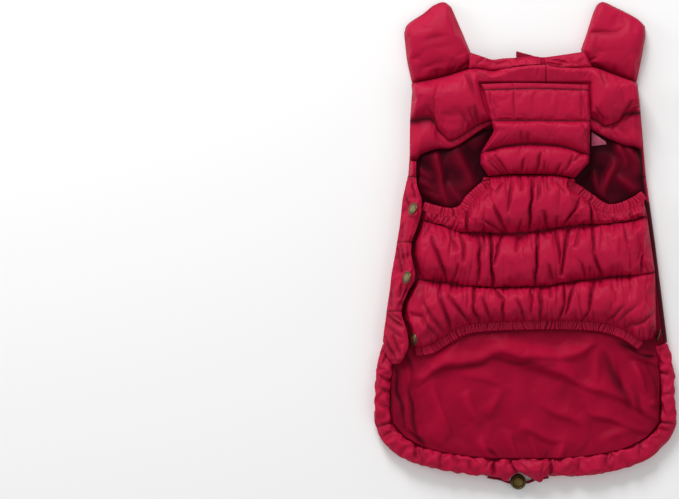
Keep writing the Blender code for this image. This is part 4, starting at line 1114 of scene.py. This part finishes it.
def hem_point(angle, share):
    """A point of the rear hem's superellipse, drawn in by a share of the hem's width."""
    x = (HEM_HALF_WIDTH - share * HEM_SIDE) * abs(cos(angle)) ** (2 / HEM_POWER)
    y = (HEM_DEPTH - share * HEM_BAND) * abs(sin(angle)) ** (2 / HEM_POWER)
    return (x if cos(angle) > 0 else -x, HEM_CENTRE_Y - y)


def edge_x(edge, y):
    return float(np.interp(-y, [-p[0] for p in edge], [p[1] for p in edge]))


def across(y, left=None, right=None):
    left = edge_x(LEFT_EDGE, y) if left is None else left
    right = edge_x(RIGHT_EDGE, y) if right is None else right
    return [(left + (right - left) * i / 4, y) for i in range(5)]


rear = [hem_point(pi + pi * i / 12, 0.96) for i in range(2, 11)]
low = ((-120.6, -164), (-60, -171.5), (0, -173), (60, -171.5), (120.6, -164))
BACK_SEAM, BACK_PUFF = 5.6, 6.4   # the quilting seams' height above the floor, and the rise
pleats = (Gather(5.5, 1.6, 6.0), Gather(23.0, 1.8, 14.0))
back_seams = (
    Seam(rear, 6.0, 5.0), Seam(low, BACK_SEAM, BACK_PUFF, gather=pleats),
    Seam(across(-122.4, -121.4, 121.4), BACK_SEAM, BACK_PUFF, gather=pleats),
    Seam(across(-94.6, -118.2, 117.6), BACK_SEAM, BACK_PUFF, False),
    Seam(across(-93.4), BACK_SEAM, BACK_PUFF, False),
    *(Seam(across(y), BACK_SEAM, BACK_PUFF, gather=pleats) for y in (-63.9, -1.8, 57.0)),
    Seam(across(120.4), BACK_SEAM + 1.6, 1.0), Seam(NECK_SEAM, 7.2, 0.0))
SLIT_X, SLIT_TOP, SLIT_BOTTOM, SLIT_HALF = -3.2, 117.0, 78.0, 7.6
PATCH_CENTRE, PATCH_SIZE = (-84.0, 26.0), (38.0, 20.0)
FALL_START_Y, FALL_CLEAR = 118.5, 6.9     # the back lies on the collar's fall from here on
PATCH_REACH, PATCH_CLEAR = (24.0, 15.0), 1.7      # and on the patch this near to its centre
CUTTER_LOW, CUTTER_HIGH = -5.0, 20.0      # the slit's cutter goes past both cloths


def on_the_floor(x, y, z):
    """The back rests flat, clear of the collar's fall and of the patch."""
    if y > FALL_START_Y:
        return max(z, FALL_CLEAR)
    near_patch = (abs(x - PATCH_CENTRE[0]) < PATCH_REACH[0]
                  and abs(y - PATCH_CENTRE[1]) < PATCH_REACH[1])
    return max(z, PATCH_CLEAR if near_patch else 0.0)


back = quilted("back_pad", Quilt(back_seams, 6.4, 7.0, out=-1, crumple=0.8), 2.9,
               (0.07, 8.0, 5.0), ((-0.6, 7.6), (0.2, 9.8), (2.4, BACK_TOP)),
               limit=on_the_floor)
for v, (x, y, z), shade in shaded(back):
    # painted shade: the back's inner face, under the other pieces, is painted fully dark, and the
    # strip beside the belly gets a painted shadow
    if z > BACK_TOP - 0.1:
        shade.value = 1.0
    elif x > edge_x(RIGHT_EDGE, y) - 5.0 and -92.0 < y < 34.0:
        # the narrow strip in the belly's shadow
        shade.value = max(shade.value, 0.9 * unit((z - 5.0) / 2.0))


def slit_outline(inset, count=40):
    """The leash slit: a drop, pointed towards the collar and round at the rear."""
    points = []
    top = SLIT_TOP - 2.2 * inset
    length = top - SLIT_BOTTOM - inset
    for i in range(count):
        angle = 2 * pi * i / count
        along = 0.5 - 0.5 * cos(angle)
        wide = 2.6 * (SLIT_HALF - inset) * along * sqrt(max(1 - along, 0.0))
        points.append((SLIT_X + (wide if angle < pi else -wide), top - length * along))
    return points


def prism(outline, low, high):
    """An upright block on an outline."""
    bm = bmesh.new()
    bmesh.ops.create_circle(bm, cap_ends=True, segments=len(outline), radius=1.0)
    bm.verts.ensure_lookup_table()
    for v, (x, y) in zip(bm.verts, outline):
        v.co = (x, y, low)
    for v in extrude_all(bm):
        v.co.z = high
    bmesh.ops.recalc_face_normals(bm, faces=bm.faces)
    return bm


def cut_slit(piece):
    """Cut the slit through a piece and apply the Boolean."""
    cutter = add_object("slit_cutter", prism(slit_outline(0.0), CUTTER_LOW, CUTTER_HIGH))
    cut = piece.modifiers.new("slit", "BOOLEAN")
    cut.operation = "DIFFERENCE"
    cut.object = cutter
    apply_modifiers(piece)
    bpy.data.objects.remove(cutter)
    piece.data.shade_smooth()


cut_slit(back)
back.data.set_sharp_from_angle(angle=1.0)
wear(back, "back_panel", soft=0.7)

# %% [markdown]
# ## The lining
#
# Behind the belly and in the armholes the satin lining shows. It is cut a little larger than
# the padded back, so it lies in long soft folds, steep on one side, and its spare cloth
# wrinkles between them. The folds are placed where it can be seen. Cloth that is a
# little too long for its place then buckles into the wrinkles by itself.

# %% Lining
# ridges: from, to, height, width left, width right
FOLDS = creases(
    # behind the belly
    (-90, -124, -33, -102, 5.6, 9, 2.6), (-33, -102, 30, -108, 6.6, 9, 2.8),
    (30, -108, 56, -97, 5.4, 8, 2.6), (-3, -110, 50, -127, 5, 9, 3),
    (50, -127, 108, -150, 4.2, 8, 3.4), (-52, -141, -43, -166, 3.8, 2.6, 5.5),
    (-24, -134, -34, -158, 2.8, 3, 6), (14, -150, 48, -166, 3.2, 6.5, 3),
    (-103, -150, -94, -182, 4.8, 3, 6), (-40, -184, -26, -201, 4, 2.6, 4),
    (34, -184, 26, -201, 4, 4, 2.6), (88, -143, 117, -160, 3.8, 5.5, 2.6),
    (98, -112, 106, -138, 5.2, 2.6, 4), (-2, -170, 40, -184, 2.6, 6, 3),
    (-82, -130, -72, -168, 3, 3, 8), (56, -158, 110, -168, 3.2, 6, 3),
    (97, -101, 118, -114, 4.8, 5, 2.4), (-112, -118, -104, -172, 4.4, 2.4, 2.8),
    (-108, -112, -99, -154, 4.6, 2.4, 3.6), (-100, -154, -96, -176, 4.2, 2.2, 3),
    (62, -108, 66, -132, 3.4, 3, 5), (78, -108, 84, -136, 4.2, 2.6, 5),
    (-60, -118, -20, -130, 2.4, 9, 5), (-14, -176, -10, -198, 3, 2.6, 3.6),
    (8, -180, 12, -200, 3, 3.4, 2.4), (104, -150, 118, -146, 3.6, 3, 2.4),
    (70, -182, 92, -170, 2.6, 5, 3),
    # left armhole
    (-99, 67, -83, 56, 3.8, 2, 3), (-98, 58, -80, 45, 3.4, 2, 3), (-77, 82, -71, 34, 4.6, 2, 5),
    (-60, 84, -49, 50, 3.4, 4, 6), (-92, 44, -76, 36, 2.6, 2, 3), (-66, 50, -56, 34, 2.6, 2, 3),
    # right armhole
    (75.5, 70, 73, 42, 5, 3.2, 4.6), (82, 90, 86.5, 66, 4, 2, 3), (92, 86, 99.5, 58, 3.6, 2, 3.4),
    (59, 62, 70, 42, 3.4, 2.6, 3), (83, 58, 101, 44, 3, 2, 3.4))
# painted shade where no light comes: from, to, darkness, widths
PAINTED_SHADOWS = creases(
    (80, -91, 104, -104, 1, 3, 4.5), (100, -102, 119, -106, 1, 2.5, 4),
    (-84, -118, -30, -108, 0.5, 3, 4), (-30, -108.5, 26, -113, 0.6, 3, 4.5),
    (70, -102, 92, -146, 0.8, 4, 7), (-118, -110, -109, -168, 1, 2.4, 4),
    (-104, -128, -99, -178, 0.9, 2.4, 4), (-106, -170, -90, -184, 0.9, 2.6, 3.6),
    (97, -132, 105, -158, 0.6, 3, 5), (113, -120, 118, -150, 0.75, 4, 3),
    (-108, -96, -104, -116, 0.8, 4, 4), (106, -104, 116, -128, 0.6, 3, 3),
    (-36, -190, -28, -198, 0.8, 2, 2.6), (20, -190, 17, -197, 0.8, 1.4, 1.8))
LEFT_OPENING = ((-101, 70), (-95, 78), (-68, 84), (-36, 100), (-30, 99), (-36, 86), (-42, 78),
                (-42, 62), (-37, 56), (-50, 39), (-57, 30), (-72, 27), (-93, 33), (-102, 48))
RIGHT_OPENING = ((58, 101), (81, 90), (104, 82), (107, 44), (97, 37), (76, 30), (58, 40), (42, 54),
                 (56, 66), (58, 76))
BELLY_EDGE = ([-113.0] + [p[0] for p in BELLY_HEM] + [117.0],
              [-101.0] + [p[1] - 4.6 for p in BELLY_HEM] + [-98.0])


def depth_inside(outline, x, y):
    """How far a point lies inside an outline, and 0 outside it."""
    nearest, inside = 1e9, False
    for (ax, ay), (bx, by) in zip(outline, (*outline[1:], outline[0])):
        if (ay > y) != (by > y) and x < ax + (bx - ax) * (y - ay) / (by - ay):
            inside = not inside
        dx, dy = bx - ax, by - ay
        f = unit(((x - ax) * dx + (y - ay) * dy) / (dx * dx + dy * dy))
        nearest = min(nearest, (x - ax - f * dx) ** 2 + (y - ay - f * dy) ** 2)
    return sqrt(nearest) if inside else 0.0


def rear_open(x, y):
    """1 in the middle of the rear opening, 0 at the hem and under the belly."""
    dx, dy = x / 121.0, (y + 140.0) / 59.5
    sides = unit((1.04 - abs(dx) ** 4 - abs(min(dy, 0.0)) ** 4) / 0.12)
    return unit((float(np.interp(x, *BELLY_EDGE)) - y) / 7.0) * sides


def shows(x, y):
    """1 where the lining is in the open, falling to 0 under the pieces that cover it."""
    legs = max(depth_inside(LEFT_OPENING, x, y), depth_inside(RIGHT_OPENING, x, y))
    tape = unit((y - 76.0) / 6.0) * unit((82.0 - x) / 6.0) if x > 50.0 else 0.0
    return max(rear_open(x, y), min(legs / 5.0, 1.0) * (1.0 - tape))


def lining_height(x, y):
    """The folds, and slower waves between them."""
    wave = rough(x * 0.028, y * 0.04, 5.0) * 2.4 + rough(x * 0.07, y * 0.055, 9.0)
    return shows(x, y) * max(1.15 * trough(FOLDS, x, y, 1.7, 6.0, 0.4) + wave + 0.8, 0.0)


LINING_PITCH, LINING_THICK = 2.7, 0.4
LINING_LEFT, LINING_RIGHT, REAR_INSET = 9.5, 3.6, 0.6
lining_lines = []
for seam in back_seams:
    line = smooth_line(seam.line)
    narrow = line(0.0).y > -94
    left, right = (LINING_LEFT, LINING_RIGHT) if narrow else (REAR_INSET, REAR_INSET)
    lining_lines.append([tuple(line((left + (line.length - left - right) * i / 12)
                                    / line.length)) for i in range(13)])
lining_lines[0] = [(x * 0.99, y + REAR_INSET) for x, y in lining_lines[0]]
lining_lines[-1] = [(x, y - 1.6) for x, y in lining_lines[-1]]
lining_quilt = Quilt([Seam(line, LINING_BASE + 0.5, 0.0, i in (0, len(back_seams) - 1))
                      for i, line in enumerate(lining_lines)], LINING_BASE + 0.5, 1.0,
                     crumple=0.0)
lining = lay_skin("lining_sheet", lining_quilt, LINING_PITCH)
for v, kept in zip(lining.data.vertices, lining.data.attributes[PINNED].data):
    x, y, z = v.co / MM
    v.co.z += lining_height(x, y) * MM
    if shows(x, y) < 0.15:
        kept.value = 1.0
fill(lining, 0.016, 0.6, 1.4, frames=12, stiff=0.03)
# painted shade: the armholes are painted dark, lighter on the ridges; behind the belly the lining
# is painted darker towards the opening's edges, off the ridges and along the listed shadows
for v, (x, y, z), shade in shaded(lining):
    v.co.z = max(z, LINING_BASE + 0.4) * MM
    ridge = unit((z - LINING_BASE - 1.0) / 4.5)
    if 15.0 < y < 100.0:  # deep in the armholes
        shade.value = 1.0 - 0.42 * ridge
    else:
        rim = 0.35 * (1 - unit((1.0 - (x / 122.0) ** 4 - ((y + 140.0) / 62.0) ** 4) / 0.7))
        dip = trough(PAINTED_SHADOWS, x, y, 1.6, 4.0, 0.6)
        shade.value = min(max(rim + 0.25 * (1.0 - ridge), dip), 1.0)
wall = lining.modifiers.new("wall", "SOLIDIFY")
wall.thickness = LINING_THICK * MM
wall.offset = 1.0
apply_modifiers(lining)
cut_slit(lining)
wear(lining, "back_lining", material=satin, slot="lining_satin")

# %% [markdown]
# ## Ruched elastics
#
# Elastic is sewn into a narrow channel while stretched, so when it lets go the cloth gathers
# in fine ribs across it, about 2.6 mm apart. The band is flat, higher at the puffed side and
# low at the open side, where its folded edge shows as a thin line. Ribs differ a little, as
# hand-fed cloth does.

# %% Ruched bands
RIB, BAND_WIDTH, BAND_RING = 2.6, 8.8, 24


def on_tube(at, v, ring, stations):
    """Where a grid's vertex lies on a tube: the fraction along it, the centre line's point
    there, the way to its right, and the cosine and sine of the turn round it."""
    turn = 2 * pi * (round((v.co.x + 0.5) * ring) % ring) / ring
    f = round((v.co.y + 0.5) * stations) / stations
    return f, at(f), right_of(at, f, 0.004), cos(turn), sin(turn)


def tube_object(name, bm):
    """Weld a tube's grid, close its ends and make it an object."""
    bmesh.ops.remove_doubles(bm, verts=bm.verts, dist=0.01)
    bmesh.ops.holes_fill(bm, edges=open_edges(bm), sides=0)
    bmesh.ops.recalc_face_normals(bm, faces=bm.faces)
    return add_object(name, bm)


def ruched(name, line, tall_in, tall_out):
    """A ruched band along a line: flat below, squarish above, ribbed across."""
    at = smooth_line(line)
    stations = round(at.length / RIB) * 6
    bm = bmesh.new()
    shade = bm.verts.layers.float.new(PAINTED_SHADE_AND_DARK_FINISH)
    bmesh.ops.create_grid(bm, x_segments=BAND_RING, y_segments=stations, size=0.5)
    for v in bm.verts:
        f, point, side, c, s = on_tube(at, v, BAND_RING, stations)
        phase = f * at.length / RIB
        phase += 2.2 * rough(phase * 0.23, 0.3 * c, BELLY_BASE + tall_in)
        phase += 0.5 * rough(phase * 0.6, 0.6 * c, tall_in)
        rib_depth = 0.25 + 0.75 * chance(round(phase), tall_in)
        valley = (1 - abs(sin(pi * phase))) ** 1.8 * rib_depth
        end = min(1.0, 0.62 + 3 * min(f, 1 - f) * at.length / BAND_WIDTH)
        out = abs(c) ** 0.6 * (1 if c > 0 else -1) * (BAND_WIDTH / 2 - 0.7 * valley)
        tall = tall_in + (tall_out - tall_in) * (0.5 + 0.5 * c)
        piping = 0.5 * exp(-((out - BAND_WIDTH / 2 + 0.9) / 0.6) ** 2)
        up = 0.0
        if s > -0.05:
            up = (tall * (0.45 + 0.55 * max(s, 0.0) ** 0.45) - 2.0 * valley + piping) * end
        # painted shade in the valleys between the ribs
        v[shade] = 0.8 * valley
        place = point + side * out * (0.5 + 0.5 * end)
        v.co = (place.x, place.y, BELLY_BASE + max(up, 0.0))
    return tube_object(name, bm)


# each band's line, and its height at the line's left and at its right
Band = namedtuple("Band", "line left right")
BANDS = {"armhole_elastic_left": Band((*LEFT_ARMHOLE, (-34.6, 56.6)), 3.0, 4.4),
         "armhole_elastic_right": Band(((39.6, 55.6), *RIGHT_ARMHOLE), 3.0, 4.4),
         "belly_elastic": Band(BELLY_HEM, 4.6, 3.2)}
for name, band in BANDS.items():
    wear(ruched(name + "_ruched", *band), name, soft=0.3)

# %% [markdown]
# ## The drawcord hem
#
# The rear hem is a channel for the drawcord. It is drawn in only a little, so its puckers are
# wide apart and uneven, deepest beside the lock, where a corner of the cloth folds over.

# %% Drawcord hem
LOCK_X, LOCK_Y = -6.5, -218.2
HEM_RING, HEM_PITCH = 22, 2.0
HEM_START = 11.5          # the hem's width at its two ends
HEM_LINE = ([(-123.4, -93.5), (-127, -118), (-128.8, -140)]
            + [hem_point(pi + pi * i / 24, 0.5) for i in range(1, 24)]
            + [(128.6, -140), (126.8, -118), (122.2, -93.5)])
# puckers: inner end, outer end, depth, width
HEM_CREASES = creases(
    (-27, -198, -28.5, -212, 4.6, 1.3), (-31.5, -198, -34, -206, 2.6, 1.2),
    (-14, -198, -9.5, -211, 5, 1.5), (23, -197, 21, -213, 5.6, 1.4), (28, -197, 27, -204, 3, 1.2),
    (72, -192, 73, -205, 3.6, 1.4), (76, -191, 74.5, -200, 2.6, 1.2),
    (102, -180, 103, -193, 3.2, 1.4), (116, -163, 133, -165.5, 4.2, 1.3),
    (116.5, -168, 130, -172, 2.4, 1.2), (116, -118, 128, -121, 3.6, 1.4),
    (118, -140, 131, -138, 2.2, 1.6), (-131, -122, -119, -128, 3.8, 1.4),
    (-133, -133, -118, -137, 3.4, 1.4), (-134, -166, -117, -165, 4.2, 1.4),
    (-132, -150, -120, -153, 2.6, 1.3), (-128, -176, -116, -172, 3, 1.3),
    (-100, -182, -98, -196, 4.4, 1.4), (-96, -184, -92, -198, 3.2, 1.3),
    (-92, -186, -88, -196, 2.6, 1.2), (-76, -191, -78, -206, 3.4, 1.4),
    (-66, -194, -60, -204, 2.6, 1.3), (-50, -197, -49, -208, 2.4, 1.3),
    (48, -197, 47, -208, 2.4, 1.3), (-122, -100, -130, -112, 3.2, 1.4),
    (-126, -96, -132, -106, 2.4, 1.3))


def hem_shape(point):
    """Width and sideways shift of the hem where it narrows."""
    pull = exp(-((point.x - LOCK_X) / 7.2) ** 4) if point.y < HEM_CENTRE_Y else 0.0
    waist = 1.9 * pull
    start, round_the_rear = unit((-94.0 - point.y) / 24.0), unit((-150.0 - point.y) / 50.0)
    wide = HEM_SIDE + (HEM_BAND - HEM_SIDE) * round_the_rear
    return HEM_START + (wide - HEM_START) * start - 2 * waist, waist


def hem_skin():
    """The hem's tube before filling, held along the floor and along its inner seam."""
    at = smooth_line(HEM_LINE)
    stations = round(at.length / HEM_PITCH)
    bm = bmesh.new()
    shade, held = [bm.verts.layers.float.new(layer) for layer in (PAINTED_SHADE_AND_DARK_FINISH, PINNED)]
    bmesh.ops.create_grid(bm, x_segments=HEM_RING, y_segments=stations, size=0.5)
    for v in bm.verts:
        f, point, side, c, s = on_tube(at, v, HEM_RING, stations)
        wide, shift = hem_shape(point)
        reach = wide / 2 - (0.7 if c > 0 else -0.3)
        out = abs(c) ** 0.75 * (1 if c > 0 else -1) * reach
        up = (HEM_HEIGHT - 1.4) * (0.5 + 0.5 * abs(s) ** 0.7 * (1 if s > 0 else -1)) + 0.9
        if s > 0.2:
            up += rough(f * 60.0, c * 1.5, 2.0) * 1.4
        end = f in (0.0, 1.0)
        inner_seam = c < -0.94
        v[held] = 1.0 if s < -0.3 or end or inner_seam else 0.0
        # painted shade along the hem's inner seam
        v[shade] = 0.7 if inner_seam else 0.0
        if s < -0.3:
            up = 0.0
            out *= 0.9
        place = point + side * (out - shift)
        if c > 0.2 and up > 5.0 and point.y < -200.0:     # it sags left of the lock
            place.y -= 3.6 * exp(-((LOCK_X - 10.0 - place.x) / 5.5) ** 2) * c
        v.co = (place.x, place.y, up * (0.92 if end else 1.0))
    return tube_object("hem_tube", bm)


hem = hem_skin()
fill(hem, 0.12, 5.0, 2.4)
for v, (x, y, z), shade in shaded(hem):
    # painted shade in the puckers
    pucker = unit((z - 3.0) / 6.0) * trough(HEM_CREASES, x, y, bend=3.0)
    shade.value = max(shade.value, min(0.13 * pucker, 1.0))
    v.co.z = max(z - 0.9 * pucker, 0.0) * MM
wear(hem, "hem_casing", soft=0.5)

# %% Folded corner of the hem
CORNER_BASE = 14.6
corner_quilt = Quilt(
    (Seam(((-13, -200), (-9.6, -206.2), (0.8, -212.4), (12.4, -218.6)), CORNER_BASE + 1.2, 4.6),
     Seam(((-12.4, -198.2), (5, -198), (20.6, -198.4), (22, -200.4), (18.6, -209),
           (14.8, -217.4)), CORNER_BASE + 1.6, 0.0)),
    CORNER_BASE + 1.0, 1.2, crumple=0.5,
    creases=creases((-6, -201, 6, -211, 1.2, 1.4), (16, -200, 13, -212, 1, 1.4)))


def corner_inside(x, y):
    """Down on the hem's tube, and lower where the corner hangs over its edge."""
    return CORNER_BASE - unit((-208.0 - y) / 8.0) * 4.0


def over_the_hem(x, y, z):
    return max(z - unit((-207.0 - y) / 12.0) * 4.0, corner_inside(x, y) + 0.8)


corner = quilted("hem_folded_corner", corner_quilt, 1.5, (0.04, 4.0, 1.2), ((0.4, 0.0),),
                 corner_inside, over_the_hem)
wear(corner, soft=0.2)

# %% [markdown]
# ## Snaps and cord lock
#
# Both are turned shapes: a profile spun once round its axis. A snap's cap is a shallow dome in
# a rolled rim. The lock is a thick disc with a pale worn ring on its face.

# %% Turned hardware
UP = Vector((0, 0, 1))


def turned(name, profile, centre, axis, steps=48):
    """Spin a profile of (radius, height, dark) points round an axis."""
    bm = bmesh.new()
    plating = bm.verts.layers.float.new(PAINTED_SHADE_AND_DARK_FINISH)
    points = []
    for radius, height, dark in profile:
        points.append(bm.verts.new((radius, 0.0, height)))
        points[-1][plating] = dark
    edges = [bm.edges.new(pair) for pair in zip(points, points[1:])]
    bmesh.ops.spin(bm, geom=points + edges, cent=(0, 0, 0), axis=UP, angle=2 * pi,
                   steps=steps, use_merge=True)
    bmesh.ops.remove_doubles(bm, verts=bm.verts, dist=0.01)
    bmesh.ops.recalc_face_normals(bm, faces=bm.faces)
    bmesh.ops.rotate(bm, cent=(0, 0, 0), matrix=UP.rotation_difference(axis).to_matrix(),
                     verts=bm.verts)
    bmesh.ops.translate(bm, vec=centre, verts=bm.verts)
    piece = add_object(name, bm)
    piece.data.set_sharp_from_angle(angle=0.6)
    return piece


SNAP_PROFILE = ((0, -0.8, 1), (5.3, -0.8, 1), (5.6, -0.5, 1), (5.6, -0.1, 0.9), (5.3, 0.25, 0.5),
                (4.9, 0.35, 0.3), (4.5, 0.2, 1), (4.3, 0.15, 1), (4, 0.3, 0.6), (3, 0.6, 0.1),
                (1.6, 0.77, 0), (0, 0.82, 0))
LOCK_PROFILE = ((0, 0, 1), (4.8, 0, 1), (6.4, 0.7, 1), (7, 2.2, 1), (7, 5.6, 1), (6.7, 6.8, 0.7),
                (6.1, 7.6, 0.2), (5.6, 7.9, 0), (5.2, 7.7, 0.9), (4.9, 7.6, 1), (4.6, 7.9, 0.5),
                (3.6, 8.5, 0.2), (2, 8.85, 0.1), (0, 9, 0.1))
for snap in SNAPS:
    wear(turned(snap.name + "_cap", SNAP_PROFILE, snap.centre, snap.axis), snap.name,
         material=brass, slot="antique_brass")
lock = turned("lock_disc", LOCK_PROFILE, Vector((LOCK_X, LOCK_Y, 0.0)), UP, 56)
wear(lock, "cord_lock", material=bronze, slot="dark_bronze")

# %% [markdown]
# ## The drawcord
#
# One elastic cord comes out of the hem on each side and runs through the lock. It is one
# curve through the points of the frame's two stretches.

# %% Drawcord
CORD_RADIUS, CORD_STEPS = 1.25, 40
CORD_HALF = ((-34, -213.9, 1.9), (-30, -214.9, 1.6), (-26, -215.4, 1.6), (-22, -216.2, 1.8),
             (-18.4, -217.6, 2.5), (-14.5, -218.8, 3.4))
cord_line = smooth_line([*CORD_HALF, (LOCK_X, -218.9, 3.9),
                         *((2 * LOCK_X - x, y, z) for x, y, z in reversed(CORD_HALF))])
cord_curve = bpy.data.curves.new("drawcord", "CURVE")
cord_curve.dimensions = "3D"
cord_curve.bevel_depth = CORD_RADIUS * MM
cord_curve.bevel_resolution = 4
cord_curve.use_fill_caps = True
spline = cord_curve.splines.new("POLY")
spline.points.add(CORD_STEPS)
for i, point in enumerate(spline.points):
    point.co = (*(cord_line(i / CORD_STEPS) * MM), 1.0)
drawcord = bpy.data.objects.new("drawcord", cord_curve)
scene.collection.objects.link(drawcord)
cord_curve.materials.append(braid)
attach(drawcord, "root")
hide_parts("drawcord_left", "drawcord_right")
cord_path = [Vector(p.co[:3]) for p in spline.points]

# %% [markdown]
# ## Trims
#
# The slit's edge is bound, the patch is bare leather with a stitched edge, and a strip of
# hook tape shows below the right strap.

# %% Slit binding
BINDING_LOW, BINDING_HIGH, BINDING_WIDE = 1.0, 12.3, 1.6
ROUND_UP, ROUND_IN = 0.5, 0.4     # how far its corners are rounded over


def bound_edge(name, outline, low, high, wide):
    """A bound edge: an upright wall along a closed outline, rounded over at both ends."""
    bm = bmesh.new()
    bmesh.ops.create_circle(bm, cap_ends=False, segments=len(outline), radius=1.0)
    bm.verts.ensure_lookup_table()
    centre = Vector((SLIT_X, (SLIT_TOP + SLIT_BOTTOM) / 2 - 4.0))
    for v, (x, y) in zip(list(bm.verts), outline):
        v.co = (x, y, low + ROUND_UP)
    section = ((0.0, high - ROUND_UP), (ROUND_IN, high), (wide - ROUND_IN, high),
               (wide, high - ROUND_UP), (wide, low + ROUND_UP), (wide - ROUND_IN, low),
               (ROUND_IN, low))
    edges, gone = bm.edges[:], 0.0
    for inset, z in section:
        made = bmesh.ops.extrude_edge_only(bm, edges=edges)
        edges = [g for g in made["geom"] if isinstance(g, bmesh.types.BMEdge)]
        for v in new_verts(made):
            way = (centre - v.co.xy).normalized() * (inset - gone)
            v.co = (v.co.x + way.x, v.co.y + way.y, z)
        gone = inset
    first = [e for e in open_edges(bm) if e not in edges]
    bmesh.ops.bridge_loops(bm, edges=first + edges)
    bmesh.ops.recalc_face_normals(bm, faces=bm.faces)
    return add_object(name, bm)


binding = bound_edge("slit_bound_edge", slit_outline(0.3, 48), BINDING_LOW, BINDING_HIGH,
                     BINDING_WIDE)
wear(binding, "leash_slit_binding")

# %% Leather patch
PATCH_THICK, PATCH_CORNER, PATCH_LOW = 1.05, 2.0, 0.15


def slab(name, centre, size, thick, corner, base):
    """A flat piece with rounded corners and a softly rounded edge; its edge is shaded."""
    bm = bmesh.new()
    bmesh.ops.create_cube(bm, size=1.0)
    bmesh.ops.scale(bm, vec=(*size, thick), verts=bm.verts)
    upright = [e for e in bm.edges if abs(e.verts[0].co.z - e.verts[1].co.z) > thick / 2]
    bmesh.ops.bevel(bm, geom=upright, offset=corner, segments=6, affect="EDGES", profile=0.5,
                    material=-1)
    rims = [e for e in bm.edges if abs(e.verts[0].co.z - e.verts[1].co.z) < 1e-6]
    bmesh.ops.bevel(bm, geom=rims, offset=thick * 0.25, segments=2, affect="EDGES",
                    profile=0.5, material=-1)
    shade = bm.verts.layers.float.new(PAINTED_SHADE_AND_DARK_FINISH)
    for v in bm.verts:
        inside = min(size[0] / 2 - abs(v.co.x), size[1] / 2 - abs(v.co.y))
        v[shade] = 1.0 if inside < thick * 0.2 else 0.0
    bmesh.ops.translate(bm, vec=(*centre, base + thick / 2), verts=bm.verts)
    return add_object(name, bm)


patch = slab("leather_patch_bare", PATCH_CENTRE, PATCH_SIZE, PATCH_THICK, PATCH_CORNER,
             PATCH_LOW)
wear(patch, "leather_patch", material=leather, slot="tan_leather")

# %% Hook tape
HOOK_LEFT, HOOK_LOW, HOOK_HIGH = 59.2, 84.6, 97.4
HOOK_OUTLINE = ((HOOK_LEFT, HOOK_HIGH), (HOOK_LEFT, HOOK_LOW), (72.6, 86.2), (71.6, 88.8))
UPPER_SLOPE, LOWER_SLOPE = -8.6 / 12.4, 1.6 / 13.4
HOOK_PITCH, HOOK_MARGIN, HOOK_RIGHT, TAPE_THICK = 1.1, 0.7, 71.4, 0.6


def hook_tape():
    """A strip of woven tape, stood all over with rows of tiny hooks."""
    bm = prism(HOOK_OUTLINE, BELLY_BASE, BELLY_BASE + TAPE_THICK)
    for i in range(12):
        for j in range(12):
            x = HOOK_LEFT + HOOK_MARGIN + i * HOOK_PITCH
            y = HOOK_LOW + HOOK_MARGIN + j * HOOK_PITCH
            upper = HOOK_HIGH + (x - HOOK_LEFT) * UPPER_SLOPE
            lower = HOOK_LOW + (x - HOOK_LEFT) * LOWER_SLOPE
            if lower + HOOK_MARGIN < y < upper - HOOK_MARGIN and x < HOOK_RIGHT:
                hook = bmesh.ops.create_cone(bm, cap_ends=True, segments=5, radius1=0.22,
                                             radius2=0.34, depth=0.8)
                bmesh.ops.translate(bm, vec=(x, y, BELLY_BASE + 1.0), verts=hook["verts"])
    return add_object("hook_tape_strip", bm)


wear(hook_tape(), "hook_tape", material=hooks_cloth, slot="pink_hook_tape")

# %% [markdown]
# ## Stitching
#
# Stitches are short runs of thread, sunk a little into the cloth. Each is a small capsule laid
# along the seam on the finished cloth, and all of a seam's stitches are one mesh.

# %% Stitches
def surface_of(piece):
    """A tree of a piece's faces, to lay things on it."""
    bm = bmesh.new()
    bm.from_mesh(piece.data)
    tree = BVHTree.FromBMesh(bm)
    bm.free()
    return tree


def stitched(name, piece, paths, pitch, length, radius, below=False, sink=0.05):
    """Stitches along paths, laid on the surface that a ray from above or below meets."""
    tree = surface_of(piece)
    start, way, lift = (-40.0, UP, sink) if below else (80.0, -UP, -sink)
    bm = bmesh.new()
    for path in paths:
        line = smooth_line(path)
        for k in range(int(line.length / pitch)):
            f = (k + 0.5) * pitch / line.length
            ends = [line(f - length / 2 / line.length), line(f + length / 2 / line.length)]
            hits = [tree.ray_cast(Vector((p.x, p.y, start)) * MM, way)[0] for p in ends]
            if not all(hits):
                continue
            a, b = [hit / MM for hit in hits]
            ball = bmesh.ops.create_uvsphere(bm, u_segments=6, v_segments=4,
                                             radius=radius)["verts"]
            bmesh.ops.scale(bm, vec=(1.0, 1.0, (b - a).length / 2 / radius), verts=ball)
            turn = UP.rotation_difference((b - a).normalized()).to_matrix()
            bmesh.ops.rotate(bm, cent=(0, 0, 0), matrix=turn, verts=ball)
            bmesh.ops.translate(bm, vec=(a + b) / 2 + UP * lift, verts=ball)
    wear(add_object(name, bm), material=thread)


stitched("flap_stitches", flap, BOX_STITCHES, 2.7, 1.9, 0.3)
stitched("tab_stitches", bpy.data.objects["neck_tab_left_pad"],
         (((10.4, 158.6), (9.4, 164.0)),), 1.9, 1.3, 0.3)
STITCH_INSET = 1.8
patch_corners = [(PATCH_CENTRE[0] + i * (PATCH_SIZE[0] / 2 - STITCH_INSET),
                  PATCH_CENTRE[1] + j * (PATCH_SIZE[1] / 2 - STITCH_INSET))
                 for i, j in ((-1, -1), (1, -1), (1, 1), (-1, 1))]
stitched("patch_stitches", patch, list(zip(patch_corners, patch_corners[1:] + patch_corners[:1])),
         3.0, 2.1, 0.24, below=True, sink=0.12)
